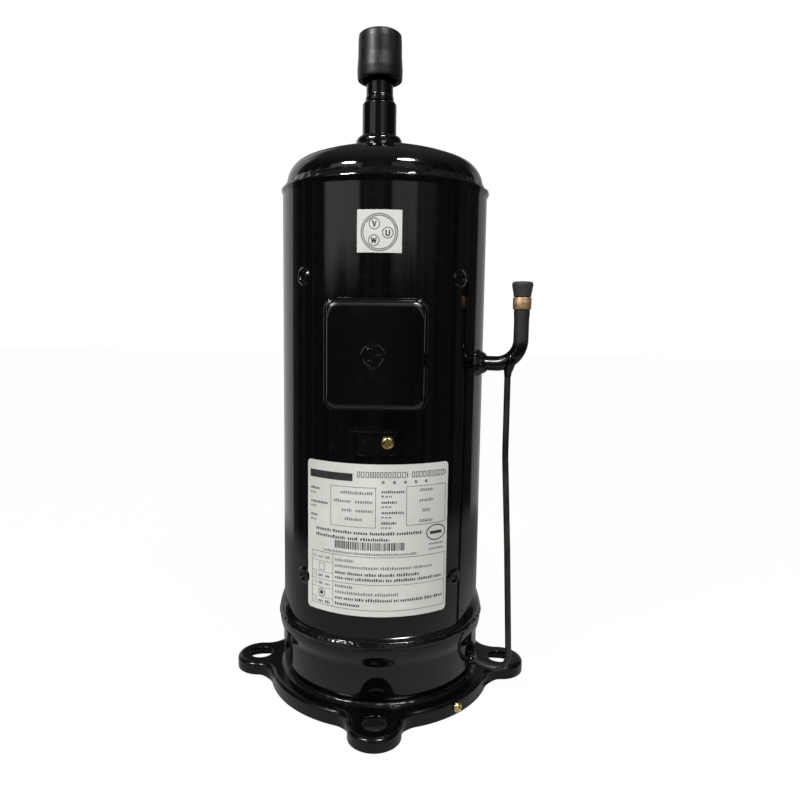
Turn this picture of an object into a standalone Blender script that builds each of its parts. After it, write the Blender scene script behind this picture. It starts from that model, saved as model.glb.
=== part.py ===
"""Tall hermetic refrigeration compressor with top suction and side discharge, as separate pieces.

Sizes are in millimetres in the constants and calls, and metres in the scene. Z is up: the base skirt
rests on z = 0 and the shell axis is x = y = 0. The terminal cover faces -Y and the four feet lie on
+-X and +-Y. The scroll set, motor and valves are modelled inside at their running clearances.
"""

import math

import bmesh
import bpy
from mathutils import Matrix, Vector

MM = 0.001

# outer body
SHELL_R = 82.6
SHELL_BORE = 79.5
SHELL_Z = (50.0, 407.5)
CAP_R = 79.2
CAP_WALL = 3.4
DOME_START = 411.5
DOME_KNUCKLE = 21.0
DOME_CROWN = 180.0
RIM_R = 86.5
LOWER_R = 83.3
LOWER_WALL = 3.3
LOWER_KNUCKLE = 16.0
LOWER_START = 22.0
LOWER_CROWN = 500.0

# base plate
PLATE_TOP = 12.7
PLATE_T = 3.2
FOOT_RADIUS = 104.9
FOOT_END = 20.1
RING_R = 94.5
FOOT_FILLET = 16.0
HOLE_R = 9.5
PLATE_BORE = 81.6
FOOT_SKIRT = 1.7
BASE_SCREW_AZ = math.radians(-48.5)

# pipes
SUCTION_X = -5.4
SUCTION_R = 10.7
SUCTION_BORE = 9.5
DISCHARGE_AZ = math.radians(-22.0)
DISCHARGE_Z = 273.0
DISCHARGE_R = 5.85
DISCHARGE_LEG = 116.0
DISCHARGE_BEND = 19.0
OIL_TUBE = ((106.4, 267.8), (106.6, 200.0), (110.6, 125.0), (115.0, 22.2), (97.0, 22.0), (76.0, 26.2))

# terminal box
BOX_X = -2.2
BOX_Z = 281.2
PIN_CIRCLE = 9.0
PIN_ANGLES = {"u": 0.0, "v": 120.0, "w": 240.0}

# scroll set and running gear
THROW = 4.5
PITCH = 17.0
WRAP_T = 3.4
WRAP_FROM = 4.1
WRAP_TO = 18.4
WRAP_STEPS = 44
SCROLL_FLOOR = 351.0
SCROLL_ROOF = 380.0
SCROLL_BOLT_R = 67.0
KEY_R = 48.0
ROTOR_BARS = 16
STATOR_SLOTS = 24
SUCTION_PORT_X = -46.0

# base colour, metallic, roughness
PAINTS = {
    "black": ((0.012, 0.012, 0.013), 0.0, 0.12),
    "steel": ((0.55, 0.55, 0.56), 1.0, 0.30),
    "iron": ((0.23, 0.23, 0.24), 0.6, 0.50),
    "copper": ((0.72, 0.40, 0.22), 1.0, 0.30),
    "brass": ((0.75, 0.60, 0.25), 1.0, 0.30),
    "rubber": ((0.03, 0.03, 0.03), 0.0, 0.75),
    "aluminium": ((0.75, 0.76, 0.78), 1.0, 0.35),
    "paper": ((0.80, 0.80, 0.76), 0.0, 0.50),
    "glass": ((0.10, 0.20, 0.18), 0.0, 0.10),
    "plastic": ((0.09, 0.10, 0.30), 0.0, 0.50),
}

for old in list(bpy.data.objects):
    bpy.data.objects.remove(old, do_unlink=True)


def collection(name):
    made = bpy.data.collections.new(name)
    bpy.context.scene.collection.children.link(made)
    return made


PARTS = collection("hermetic_compressor")
CUTTERS = collection("cutters")


# ------------------------------------------------------------------------------- making solids
def paint(name, kind):
    colour, metallic, roughness = PAINTS[kind]
    mat = bpy.data.materials.new(name + "_paint")
    mat.use_nodes = True
    shader = mat.node_tree.nodes["Principled BSDF"]
    shader.inputs["Base Color"].default_value = (*colour, 1.0)
    shader.inputs["Metallic"].default_value = metallic
    shader.inputs["Roughness"].default_value = roughness
    return mat


def file_object(name, mesh, kind, at=(0, 0, 0), axis=(0, 0, 1)):
    """Puts a mesh in the scene as a piece, or as a hidden cutter when kind is None."""
    ob = bpy.data.objects.new(name, mesh)
    ob.location = Vector(at) * MM
    if tuple(axis) != (0, 0, 1):
        ob.rotation_euler = Vector(axis).to_track_quat("Z", "Y").to_euler()
    if kind is None:
        CUTTERS.objects.link(ob)
        ob.hide_render = True
        ob.display_type = "WIRE"
    else:
        PARTS.objects.link(ob)
        mesh.materials.append(paint(name, kind))
    return ob


def clockwise(outline):
    area = sum(a[0] * b[1] - b[0] * a[1] for a, b in zip(outline, outline[1:] + outline[:1]))
    return list(outline) if area < 0 else list(reversed(outline))


def turned(name, outline, kind=None, steps=40, at=(0, 0, 0), axis=(0, 0, 1)):
    """Turns a closed (radius, height) outline about an axis through at with a Screw modifier."""
    outline = clockwise(outline)
    n = len(outline)
    edges = [(i, (i + 1) % n) for i in range(n) if outline[i][0] or outline[(i + 1) % n][0]]
    mesh = bpy.data.meshes.new(name)
    mesh.from_pydata([(r * MM, 0.0, z * MM) for r, z in outline], edges, [])
    ob = file_object(name, mesh, kind, at, axis)
    screw = ob.modifiers.new("turn", "SCREW")
    screw.angle = 2 * math.pi
    screw.steps = screw.render_steps = steps
    screw.use_merge_vertices = True
    screw.merge_threshold = 0.00001
    screw.use_smooth_shade = True
    return ob


def ring(r0, r1, z0, z1):
    return [(r0, z0), (r1, z0), (r1, z1), (r0, z1)]


def rod(name, radius, start, end, kind=None, sides=16, at=(0, 0, 0), axis=(0, 0, 1), twist=0.0):
    """A plain cylinder between two distances along an axis through at."""
    mesh = bpy.data.meshes.new(name)
    bm = bmesh.new()
    matrix = Matrix.Translation((0, 0, (start + end) / 2 * MM)) @ Matrix.Rotation(twist, 4, "Z")
    bmesh.ops.create_cone(bm, cap_ends=True, segments=sides, radius1=radius * MM, radius2=radius * MM,
                          depth=(end - start) * MM, matrix=matrix)
    bm.to_mesh(mesh)
    bm.free()
    return file_object(name, mesh, kind, at, axis)


def block(name, x, y, z, kind=None):
    """A box between pairs of limits."""
    mesh = bpy.data.meshes.new(name)
    bm = bmesh.new()
    sizes = [(b - a) * MM for a, b in (x, y, z)]
    bmesh.ops.create_cube(bm, size=1.0, matrix=Matrix.Diagonal((*sizes, 1.0)))
    bm.to_mesh(mesh)
    bm.free()
    return file_object(name, mesh, kind, [(a + b) / 2 for a, b in (x, y, z)])


def mesh_of(curve, shift=(0, 0, 0)):
    """The closed mesh of a curve, its caps welded on."""
    rough = bpy.data.objects.new("rough", curve)
    bpy.context.scene.collection.objects.link(rough)
    depsgraph = bpy.context.evaluated_depsgraph_get()
    mesh = bpy.data.meshes.new_from_object(rough.evaluated_get(depsgraph))
    bpy.data.objects.remove(rough, do_unlink=True)
    bm = bmesh.new()
    bm.from_mesh(mesh)
    bmesh.ops.remove_doubles(bm, verts=bm.verts, dist=0.000001)
    bmesh.ops.recalc_face_normals(bm, faces=bm.faces)
    bm.to_mesh(mesh)
    bm.free()
    mesh.materials.clear()
    mesh.transform(Matrix.Translation(Vector(shift) * MM))
    mesh.shade_smooth()
    mesh.set_sharp_from_angle(angle=math.radians(35))
    return mesh


def flat(name, outlines, low, high, kind=None, at=(0, 0, 0), axis=(0, 0, 1)):
    """Flat stock between two heights, cut to closed outlines; outlines inside others are holes."""
    curve = bpy.data.curves.new(name, "CURVE")
    curve.dimensions = "2D"
    curve.fill_mode = "BOTH"
    curve.extrude = (high - low) / 2 * MM
    for outline in outlines:
        spline = curve.splines.new("POLY")
        spline.points.add(len(outline) - 1)
        for point, (x, y) in zip(spline.points, outline):
            point.co = (x * MM, y * MM, 0.0, 1.0)
        spline.use_cyclic_u = True
    return file_object(name, mesh_of(curve, (0, 0, (low + high) / 2)), kind, at, axis)


def tube(name, points, radius, kind, wall=0.0, resolution=4):
    """A round tube along points, solid or bored right through to a wall thickness."""
    def sweep(path, r):
        curve = bpy.data.curves.new(name, "CURVE")
        curve.dimensions = "3D"
        curve.bevel_depth = r * MM
        curve.bevel_resolution = resolution
        curve.use_fill_caps = True
        spline = curve.splines.new("POLY")
        spline.points.add(len(path) - 1)
        for point, place in zip(spline.points, path):
            point.co = (*(Vector(place) * MM), 1.0)
        return mesh_of(curve)

    ob = file_object(name, sweep(points, radius), kind)
    if wall:
        path = [Vector(p) for p in points]
        path[0] += (path[0] - path[1]).normalized() * 2
        path[-1] += (path[-1] - path[-2]).normalized() * 2
        cut(ob, file_object("cut_" + name, sweep(path, radius - wall), None))
    return ob


def combine(ob, tools, operation):
    for tool in tools:
        mod = ob.modifiers.new(tool.name, "BOOLEAN")
        mod.operation = operation
        mod.solver = "EXACT"
        mod.object = tool
    return ob


def cut(ob, *tools):
    return combine(ob, tools, "DIFFERENCE")


def weld(ob, *tools):
    return combine(ob, tools, "UNION")


def soften(ob, width, segments=2):
    bevel = ob.modifiers.new("edges", "BEVEL")
    bevel.width = width * MM
    bevel.segments = segments
    bevel.limit_method = "ANGLE"
    bevel.angle_limit = math.radians(60)
    return ob


def carrier(name, at, members, parent=None):
    """An empty on a joint's axis that carries the pieces that move together."""
    empty = bpy.data.objects.new(name, None)
    empty.location = Vector(at) * MM
    PARTS.objects.link(empty)
    empty.parent = parent
    bpy.context.view_layer.update()
    for member in members:
        ob = bpy.data.objects[member]
        ob.parent = empty
        ob.matrix_parent_inverse = empty.matrix_world.inverted()
    return empty


# ------------------------------------------------------------------------------- outlines
def polar(r, angle):
    return (r * math.cos(angle), r * math.sin(angle))


def circle(r, centre=(0.0, 0.0), sides=16, twist=0.0):
    return [(centre[0] + r * math.cos(2 * math.pi * i / sides + twist),
             centre[1] + r * math.sin(2 * math.pi * i / sides + twist)) for i in range(sides)]


def rectangle(cx, cy, w, h):
    return [(cx - w / 2, cy - h / 2), (cx + w / 2, cy - h / 2), (cx + w / 2, cy + h / 2), (cx - w / 2, cy + h / 2)]


def rounded(w, h, r, steps=3):
    """Rounded rectangle outline centred on the origin."""
    out = []
    for sx, sy, start in ((1, 1, 0), (-1, 1, 90), (-1, -1, 180), (1, -1, 270)):
        for k in range(steps + 1):
            x, y = polar(r, math.radians(start + 90.0 * k / steps))
            out.append((sx * (w / 2 - r) + x, sy * (h / 2 - r) + y))
    return out


def band(r0, r1, start, end, steps):
    """Part of a ring between two angles."""
    outer = [polar(r1, start + (end - start) * i / steps) for i in range(steps + 1)]
    inner = [polar(r0, end - (end - start) * i / steps) for i in range(steps + 1)]
    return outer + inner


def around(azimuth, r, z):
    """A point given by azimuth, radius and height."""
    return (*polar(r, azimuth), z)


def dish(r, start, knuckle, crown, up=1.0, steps=4):
    """Outline of a dished end from its straight side to the axis."""
    lean = math.asin((r - knuckle) / (crown - knuckle))
    out = []
    for i in range(steps):
        x, z = polar(knuckle, (math.pi / 2 - lean) * i / (steps - 1))
        out.append((r - knuckle + x, start + up * z))
    centre = start - up * (crown - knuckle) * math.cos(lean)
    for i in range(1, steps):
        angle = lean * (1 - i / (steps - 1))
        out.append((crown * math.sin(angle) if i < steps - 1 else 0.0, centre + up * crown * math.cos(angle)))
    return out


def bent(corners, radii, steps=6):
    """Straight runs joined by circular bends; a radius belongs to each inner corner."""
    points = [Vector(corners[0])]
    for before, corner, after, radius in zip(corners, corners[1:], corners[2:], radii):
        corner = Vector(corner)
        a = (Vector(before) - corner).normalized()
        b = (Vector(after) - corner).normalized()
        half = a.angle(b) / 2
        centre = corner + (a + b).normalized() * radius / math.sin(half)
        first = corner + a * radius / math.tan(half) - centre
        last = corner + b * radius / math.tan(half) - centre
        points += [centre + first.slerp(last, i / steps).normalized() * radius for i in range(steps + 1)]
    points.append(Vector(corners[-1]))
    return points


# ------------------------------------------------------------------------------- outer body
def shell():
    body = turned("shell", ring(SHELL_BORE, SHELL_R, *SHELL_Z), "black", 48)
    out = around(DISCHARGE_AZ, 1, 0)
    cut(body,
        rod("cut_shell_discharge", 6.4, 72, 92, sides=20, at=(0, 0, DISCHARGE_Z), axis=out),
        rod("cut_shell_terminal", 22.6, 65, 95, sides=32, at=(BOX_X, 0, BOX_Z), axis=(0, -1, 0)))


def top_cap():
    outer = [(CAP_R, 396.0)] + dish(CAP_R, DOME_START, DOME_KNUCKLE, DOME_CROWN)
    inner = [(CAP_R - CAP_WALL, 396.0)]
    inner += dish(CAP_R - CAP_WALL, DOME_START, DOME_KNUCKLE - CAP_WALL, DOME_CROWN - CAP_WALL, 1.0, 3)
    cap = turned("top_cap", outer + inner[::-1], "black", 40)
    cut(cap, rod("cut_cap_suction", 14.0, 420, 460, sides=28, at=(SUCTION_X, 0, 0)))


def bottom_cap():
    outer = [(RIM_R, 66.0), (RIM_R, 50.0), (86.0, 48.0), (LOWER_R + 0.4, 44.0)]
    outer += dish(LOWER_R, LOWER_START, LOWER_KNUCKLE, LOWER_CROWN, -1.0)
    inner = [(83.0, 66.0), (83.0, 48.5), (LOWER_R - LOWER_WALL, 45.0)]
    inner += dish(LOWER_R - LOWER_WALL, LOWER_START, LOWER_KNUCKLE - LOWER_WALL, LOWER_CROWN - LOWER_WALL, -1.0, 3)
    cap = turned("bottom_cap", outer + inner[::-1], "black", 40)
    (r0, z0), (r1, z1) = OIL_TUBE[-2:]
    cut(cap, rod("cut_cap_oil_tube", 2.95, -4.0, 16.0, sides=14, at=around(DISCHARGE_AZ, r1, z1),
                 axis=around(DISCHARGE_AZ, r0 - r1, z0 - z1)))


def weld_beads():
    turned("lower_weld_bead", [(82.85, 66.4), (86.2, 66.4), (85.9, 68.6), (84.6, 71.4), (82.85, 74.0)], "black", 48)
    turned("upper_weld_bead", [(79.45, 407.8), (82.9, 407.8), (82.6, 409.6), (81.2, 411.4), (79.6, 411.8)],
           "black", 48)
    turned("plate_weld_bead", [(83.55, 13.0), (85.6, 13.0), (83.65, 16.6)], "black", 40)


# ------------------------------------------------------------------------------- base plate
def foot_outline(inset, steps=4):
    """The base outline drawn in by inset: four feet, joined to the ring by hollow fillets."""
    end, body, fillet = FOOT_END - inset, RING_R - inset, FOOT_FILLET + inset
    cy = end + fillet
    cx = math.sqrt((body + fillet) ** 2 - cy ** 2)
    touch = math.atan2(cy, cx)
    eighth = []
    for i in range(steps + 1):
        x, y = polar(end, math.pi / 2 * i / steps)
        eighth.append((FOOT_RADIUS + x, y))
    first = -math.pi / 2
    last = touch - math.pi
    for i in range(1, steps + 1):
        x, y = polar(fillet, first + (last - first) * i / steps)
        eighth.append((cx + x, cy + y))
    eighth += [polar(body, touch + (math.pi / 4 - touch) * i / 3) for i in range(1, 4)]
    quarter = eighth + [(y, x) for x, y in eighth[-2:0:-1]]
    out = []
    for c, s in ((1, 0), (0, 1), (-1, 0), (0, -1)):
        out += [(c * x - s * y, s * x + c * y) for x, y in quarter]
    return out


def base_plate():
    plate = soften(flat("base_plate", [foot_outline(0.0)], -6.0, PLATE_TOP, "black"), 3.0, 2)
    feet = [polar(FOOT_RADIUS, k * math.pi / 2) for k in range(4)]
    ramp = [(93.0, -9.0), (93.0, 0.0), (101.0, FOOT_SKIRT), (130.0, FOOT_SKIRT), (130.0, -9.0)]
    cut(plate,
        block("cut_base_floor", (-130, 130), (-130, 130), (-9.0, 0.0)),
        flat("cut_base_inside", [foot_outline(2.9)], -10.0, PLATE_TOP - PLATE_T),
        rod("cut_base_bore", PLATE_BORE, -12.0, 20.0, sides=56, twist=0.03),
        flat("cut_foot_holes", [circle(HOLE_R, foot, 24, 0.08) for foot in feet], -12.0, 20.0))
    for k in range(4):
        tool = flat("cut_foot_skirt_%d" % k, [ramp], -30.0, 30.0)
        tool.rotation_euler = (math.pi / 2, 0, k * math.pi / 2)
        cut(plate, tool)
    cut(plate, rod("cut_base_screw", 2.3, 84, 104, sides=12, at=(0, 0, 6.6), axis=around(BASE_SCREW_AZ, 1, 0)))


# ------------------------------------------------------------------------------- pipes
def suction_stack():
    at = (SUCTION_X, 0, 0)
    turned("suction_collar", [(14.0, 445.4), (25.4, 444.9), (24.0, 445.8), (20.2, 446.8), (18.6, 448.4),
                              (17.6, 450.6), (14.0, 452.0)], "black", 28, at)
    turned("suction_sleeve", [(11.0, 434.5), (13.65, 434.5), (13.65, 477.2), (12.2, 479.2), (11.0, 479.2)],
           "black", 28, at)
    turned("suction_pipe", ring(SUCTION_BORE, SUCTION_R, 434.5, 517.5), "copper", 28, at)
    turned("suction_rubber_cap", [(0.0, 532.7), (14.8, 532.3), (16.9, 530.4), (17.5, 527.0), (18.1, 505.0),
                                  (18.2, 498.5), (17.6, 495.9), (14.2, 495.9), (13.8, 501.5), (11.1, 503.0),
                                  (11.1, 518.5), (0.0, 518.5)], "rubber", 28, at)


def discharge_line():
    out = around(DISCHARGE_AZ, 1, 0)
    leg = around(DISCHARGE_AZ, DISCHARGE_LEG, 0)
    path = bent([around(DISCHARGE_AZ, 73, DISCHARGE_Z), around(DISCHARGE_AZ, DISCHARGE_LEG, DISCHARGE_Z),
                 around(DISCHARGE_AZ, DISCHARGE_LEG, 318.0)], [DISCHARGE_BEND])
    tube("discharge_pipe", path, DISCHARGE_R, "black", wall=1.0)
    turned("discharge_collar", [(6.25, 83.3), (10.4, 83.3), (9.4, 85.0), (8.2, 86.8), (7.7, 88.8), (6.25, 89.4)],
           "black", 24, (0, 0, DISCHARGE_Z), out)
    turned("discharge_copper_socket", ring(6.1, 7.15, 315.2, 324.2), "copper", 24, leg)
    turned("discharge_rubber_plug", [(0.0, 318.4), (4.6, 318.4), (5.8, 324.5), (6.5, 324.5), (6.9, 327.4),
                                     (8.1, 335.0), (7.5, 336.0), (0.0, 336.5)], "rubber", 24, leg)
    corners = [around(DISCHARGE_AZ, r, z) for r, z in OIL_TUBE]
    tube("oil_tube", bent(corners, [150, 200, 13.0, 40], 5), 2.5, "black", wall=0.9, resolution=2)


# ------------------------------------------------------------------------------- labels, terminal box
def labels():
    for name, middle, half, low, high, steps in (("name_plate", -91.5, 40.0, 82.0, 200.5, 24),
                                                 ("terminal_diagram", -91.0, 11.3, 353.0, 383.2, 8)):
        middle, half = math.radians(middle), math.radians(half)
        flat(name, [band(82.85, 83.1, middle - half, middle + half, steps)], low, high, "paper")


def facing_front(name, outlines, back, front, kind=None):
    """Flat stock standing upright in front of the shell, between two distances towards -Y."""
    tool = flat(name, outlines, back, front, kind)
    tool.rotation_euler = (math.pi / 2, 0, 0)
    tool.location = Vector((BOX_X, 0, BOX_Z)) * MM
    return tool


def terminal_box():
    fence = facing_front("terminal_box_frame", [rounded(68.0, 74.0, 7.0), rounded(64.6, 70.6, 5.4)],
                         60.0, 94.8, "black")
    cut(fence, rod("cut_fence", 82.95, 200, 360, sides=96))
    facing_front("cover_gasket", [rounded(70.0, 76.0, 7.0), rounded(65.0, 71.0, 5.4)], 95.1, 96.1, "rubber")
    cover = facing_front("terminal_cover", [rounded(72.6, 79.0, 8.4)], 96.4, 97.5, "black")
    weld(cover, soften(facing_front("add_cover_face", [rounded(69.6, 75.8, 7.1)], 96.6, 100.9), 1.4))
    cut(cover, facing_front("cut_cover_inside", [rounded(68.2, 74.2, 6.0)], 90.0, 99.5))
    body = turned("terminal_body", [(0.0, 78.6), (19.0, 78.6), (22.2, 80.2), (22.2, 83.4), (19.0, 84.6),
                                    (0.0, 84.6)], "steel", 24, (BOX_X, 0, BOX_Z), (0, -1, 0))
    for key, angle in PIN_ANGLES.items():
        x, z = polar(PIN_CIRCLE, math.radians(angle))
        at = (BOX_X + x, 0, BOX_Z + z)
        cut(body, rod("cut_pin_" + key, 3.9, 70, 90, sides=16, at=at, axis=(0, -1, 0)))
        turned("terminal_glass_" + key, ring(1.85, 3.6, 79.0, 85.6), "glass", 12, at, (0, -1, 0))
        rod("terminal_pin_" + key, 1.6, 70.5, 93.5, "copper", 10, at, (0, -1, 0))


def earth_points():
    block("box_lower_bracket", (-20.2, 13.8), (-86.4, -85.0), (224.6, 242.8), "black")
    earth = block("earth_plate", (-16.2, 12.3), (-84.7, -83.4), (207.2, 239.6), "black")
    at = (6.6, 0, 217.2)
    cut(earth, rod("cut_earth", 2.3, 80, 90, sides=12, at=at, axis=(0, -1, 0)))
    turned("earth_screw", [(0.0, 83.2), (1.95, 83.2), (1.95, 84.95), (4.8, 84.95), (4.6, 86.6), (3.4, 88.0),
                           (0.0, 88.4)], "brass", 20, at, (0, -1, 0))
    turned("base_earth_screw", [(0.0, 88.0), (1.95, 88.0), (1.95, 94.9), (4.0, 94.9), (3.8, 96.6), (2.8, 97.6),
                                (0.0, 97.9)], "brass", 18, (0, 0, 6.6), around(BASE_SCREW_AZ, 1, 0))


# ------------------------------------------------------------------------------- scroll set
def wrap_outline(turn):
    """Both flanks of a scroll wall: involutes of one base circle, half a wall apart each way."""
    base = PITCH / (2 * math.pi)
    half = WRAP_T / 2 / base
    sides = []
    for offset in (half, -half):
        side = []
        for i in range(WRAP_STEPS + 1):
            angle = WRAP_FROM + (WRAP_TO - WRAP_FROM) * i / WRAP_STEPS
            roll = angle - offset
            x = base * (math.cos(angle) + roll * math.sin(angle))
            y = base * (math.sin(angle) - roll * math.cos(angle))
            side.append((x * math.cos(turn) - y * math.sin(turn), x * math.sin(turn) + y * math.cos(turn)))
        sides.append(side)
    return sides[0] + sides[1][::-1]


def bolt_places():
    return [polar(SCROLL_BOLT_R, math.radians(45 + 90 * k)) for k in range(4)]


def fixed_scroll():
    body = turned("fixed_scroll", [(0.0, SCROLL_ROOF), (62.0, SCROLL_ROOF), (62.0, 350.3), (72.5, 350.3),
                                   (72.5, 398.0), (0.0, 398.0)], "iron", 32)
    weld(body, flat("add_fixed_wrap", [wrap_outline(0.0)], SCROLL_FLOOR + 0.4, SCROLL_ROOF + 3))
    cut(body,
        rod("cut_discharge_port", 5.0, 340, 410, sides=20, twist=0.07),
        flat("cut_scroll_bolts", [circle(4.4, place, 14) for place in bolt_places()], 340, 410),
        turned("cut_suction_port", [(0.0, 370.0), (7.0, 370.0), (7.0, 386.0), (9.6, 386.0), (9.6, 410.0),
                                    (0.0, 410.0)], None, 20, (SUCTION_PORT_X, 0, 0)),
        rod("cut_reed_bolt", 2.2, 390, 410, sides=12, at=(0, 26, 0)))
    for k, (x, y) in enumerate(bolt_places()):
        turned("scroll_bolt_%d" % (k + 1), [(0.0, 333.0), (4.0, 333.0), (4.0, 398.3), (6.4, 398.3), (6.4, 404.5),
                                             (0.0, 404.5)], "steel", 12, (x, y, 0))


def orbiting_scroll():
    at = (THROW, 0, 0)
    body = turned("orbiting_scroll", [(15.3, 326.0), (22.0, 326.0), (22.0, 344.0), (56.0, 344.0),
                                      (56.0, SCROLL_FLOOR), (0.0, SCROLL_FLOOR), (0.0, 343.6), (15.3, 343.6)],
                  "iron", 40, at)
    weld(body, flat("add_orbiting_wrap", [wrap_outline(math.pi)], SCROLL_FLOOR - 3, SCROLL_ROOF - 0.4, at=at))
    keyways = [rectangle(0, side * KEY_R, 8.8, 21.0) for side in (-1, 1)]
    cut(body, flat("cut_scroll_keyways", keyways, 340.0, 347.4, at=at))
    turned("orbiting_bush", ring(12.3, 15.0, 327.0, 343.0), "brass", 24, at)


def oldham_ring():
    at = (THROW, 0, 0)
    body = turned("oldham_ring", ring(44.0, 52.0, 340.4, 343.6), "aluminium", 32, at)
    weld(body,
         flat("add_upper_keys", [rectangle(0, side * KEY_R, 8.0, 8.0) for side in (-1, 1)], 342.0, 347.0, at=at),
         flat("add_lower_keys", [rectangle(side * KEY_R, 0, 7.8, 8.0) for side in (-1, 1)], 337.0, 342.0, at=at))


def main_frame():
    body = turned("main_frame", [(18.4, 298.0), (28.0, 298.0), (34.0, 318.0), (60.0, 326.0), (79.2, 326.0),
                                 (79.2, 349.9), (63.0, 349.9), (63.0, 340.0), (28.5, 340.0), (28.5, 323.0),
                                 (18.4, 323.0)], "iron", 36)
    cut(body,
        flat("cut_frame_keyways", [rectangle(side * KEY_R, 0, 19.0, 8.8) for side in (-1, 1)], 336.4, 345.0),
        flat("cut_frame_bolts", [circle(4.4, place, 14) for place in bolt_places()], 331.0, 360.0),
        flat("cut_frame_ways", [rectangle(0, side * 80.5, 24.0, 12.0) for side in (-1, 1)], 320.0, 355.0))
    turned("main_bearing_bush", ring(15.3, 18.1, 299.0, 322.0), "brass", 24)


# ------------------------------------------------------------------------------- shaft and motor
def crankshaft():
    body = turned("crankshaft", [(0.0, 88.0), (12.0, 88.0), (12.0, 131.0), (15.0, 132.0), (15.0, 323.6),
                                 (0.0, 323.6)], "steel", 24)
    weld(body, rod("add_crank_pin", 12.0, 323.2, 342.4, sides=24, at=(THROW, 0, 0)))
    cut(body,
        rod("cut_oil_bore", 2.6, 80.0, 350.0, sides=12, twist=0.16),
        rod("cut_pickup_seat", 5.4, 80.0, 97.0, sides=16, twist=0.1),
        rod("cut_plug_seat", 6.4, 339.4, 350.0, sides=24, at=(THROW / 2, 0, 0)))
    turned("crank_oil_plug", ring(1.2, 6.0, 339.7, 342.2), "steel", 16, (THROW / 2, 0, 0))
    turned("oil_pickup_tube", ring(3.6, 5.0, 30.0, 96.0), "steel", 20)


def balance_weights():
    for name, middle, low, high, r in (("upper_balance_weight", math.pi, 243.2, 257.0, 36.0),
                                       ("lower_balance_weight", 0.0, 134.0, 146.8, 33.0)):
        half = math.radians(95)
        flat(name, [band(15.35, r, middle - half, middle + half, 16)], low, high, "brass")


def rotor():
    places = [polar(36.5, 2 * math.pi * k / ROTOR_BARS) for k in range(ROTOR_BARS)]
    core = turned("rotor_core", ring(15.35, 42.0, 155.0, 235.0), "iron", 32)
    cut(core, flat("cut_rotor_bars", [circle(2.9, place, 6) for place in places], 150, 240))
    cage = turned("rotor_cage", ring(31.0, 41.0, 235.4, 242.6), "aluminium", 32)
    weld(cage,
         flat("add_rotor_bars", [circle(2.5, place, 6) for place in places], 150, 239),
         turned("add_lower_end_ring", ring(31.0, 41.0, 147.4, 154.6), None, 32))


def slot(middle, r0, r1, w0, w1):
    """A slot that widens outwards, about a radial line."""
    c, s = math.cos(middle), math.sin(middle)
    corners = [(r0, -w0 / 2), (r1, -w1 / 2), (r1, w1 / 2), (r0, w0 / 2)]
    return [(c * x - s * y, s * x + c * y) for x, y in corners]


def stator():
    middles = [2 * math.pi * (k + 0.5) / STATOR_SLOTS for k in range(STATOR_SLOTS)]
    core = turned("stator_core", ring(42.7, 79.1, 145.0, 245.0), "iron", 48)
    flats = [rectangle(side * 83.0, 0, 11.0, 28.0) for side in (-1, 1)]
    flats += [rectangle(0, side * 83.0, 28.0, 11.0) for side in (-1, 1)]
    cut(core,
        flat("cut_stator_slots", [slot(a, 40.0, 65.0, 5.0, 10.0) for a in middles], 140, 250),
        flat("cut_stator_flats", flats, 140, 250))
    upper = [(46.5, 247.0), (67.0, 247.0), (68.0, 252.0), (64.0, 261.0), (51.0, 261.0), (46.5, 255.0)]
    lower = [(r, 390.0 - z) for r, z in upper]
    coil = turned("stator_winding", upper, "copper", 24)
    weld(coil,
         flat("add_coil_sides", [slot(a, 46.0, 64.4, 5.2, 9.0) for a in middles], 140, 250),
         turned("add_lower_end_turns", lower, None, 24))
    tube("motor_lead_bundle", bent([(BOX_X, -68.5, 281.0), (BOX_X, -58.0, 280.0), (BOX_X, -57.0, 261.5)], [7.0], 5),
         2.6, "plastic", resolution=3)


def lower_frame():
    body = turned("lower_frame", [(15.4, 97.0), (24.0, 97.0), (26.0, 102.5), (79.2, 102.5), (79.2, 111.0),
                                  (26.0, 111.0), (24.0, 124.0), (15.4, 124.0)], "iron", 32)
    windows = [circle(17.0, polar(52.0, math.radians(45 + 90 * k)), 12) for k in range(4)]
    cut(body, flat("cut_frame_windows", windows, 90, 120))
    turned("lower_bearing_bush", ring(12.3, 15.1, 98.0, 123.0), "brass", 24)


# ------------------------------------------------------------------------------- valves
def suction_valve():
    x = SUCTION_PORT_X
    path = bent([(SUCTION_X, 0, 434.0), (SUCTION_X, 0, 419.5), (x, 0, 419.5), (x, 0, 398.3)], [12.0, 12.0], 5)
    tube("suction_inner_elbow", path, 9.3, "steel", wall=1.2)
    rod("suction_valve_disc", 8.9, 395.8, 398.0, "steel", 20, (x, 0, 0))
    turns, per_turn, low, high = 4, 12, 386.9, 395.0
    count = turns * per_turn
    coil = [(x + 6.8 * math.cos(2 * math.pi * i / per_turn), 6.8 * math.sin(2 * math.pi * i / per_turn),
             low + (high - low) * i / count) for i in range(count + 1)]
    tube("suction_valve_spring", coil, 0.5, "steel", resolution=0)


def discharge_valve():
    clamp = 22.0
    holes = circle(2.6, (0, 26.0 - clamp), 14)
    flat("discharge_reed", [rectangle(0, 12.0 - clamp, 12.0, 38.0), holes], -0.2, 0.2, "steel",
         at=(0, clamp, 398.7))
    side = [(-7.0, 402.2), (-7.0, 403.8), (6.0, 402.6), (19.0, 400.8), (31.0, 400.8), (31.0, 399.2),
            (19.0, 399.2), (6.0, 401.0)]
    guard = flat("reed_guard", [side], -6.0, 6.0, "steel")
    guard.rotation_euler = (math.pi / 2, 0, math.pi / 2)
    cut(guard, rod("cut_guard", 2.6, 390, 410, sides=14, at=(0, 26, 0)))
    turned("reed_bolt", [(0.0, 391.0), (1.9, 391.0), (1.9, 401.1), (4.4, 401.1), (4.4, 404.0), (0.0, 404.0)],
           "steel", 12, (0, 26, 0))


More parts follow.
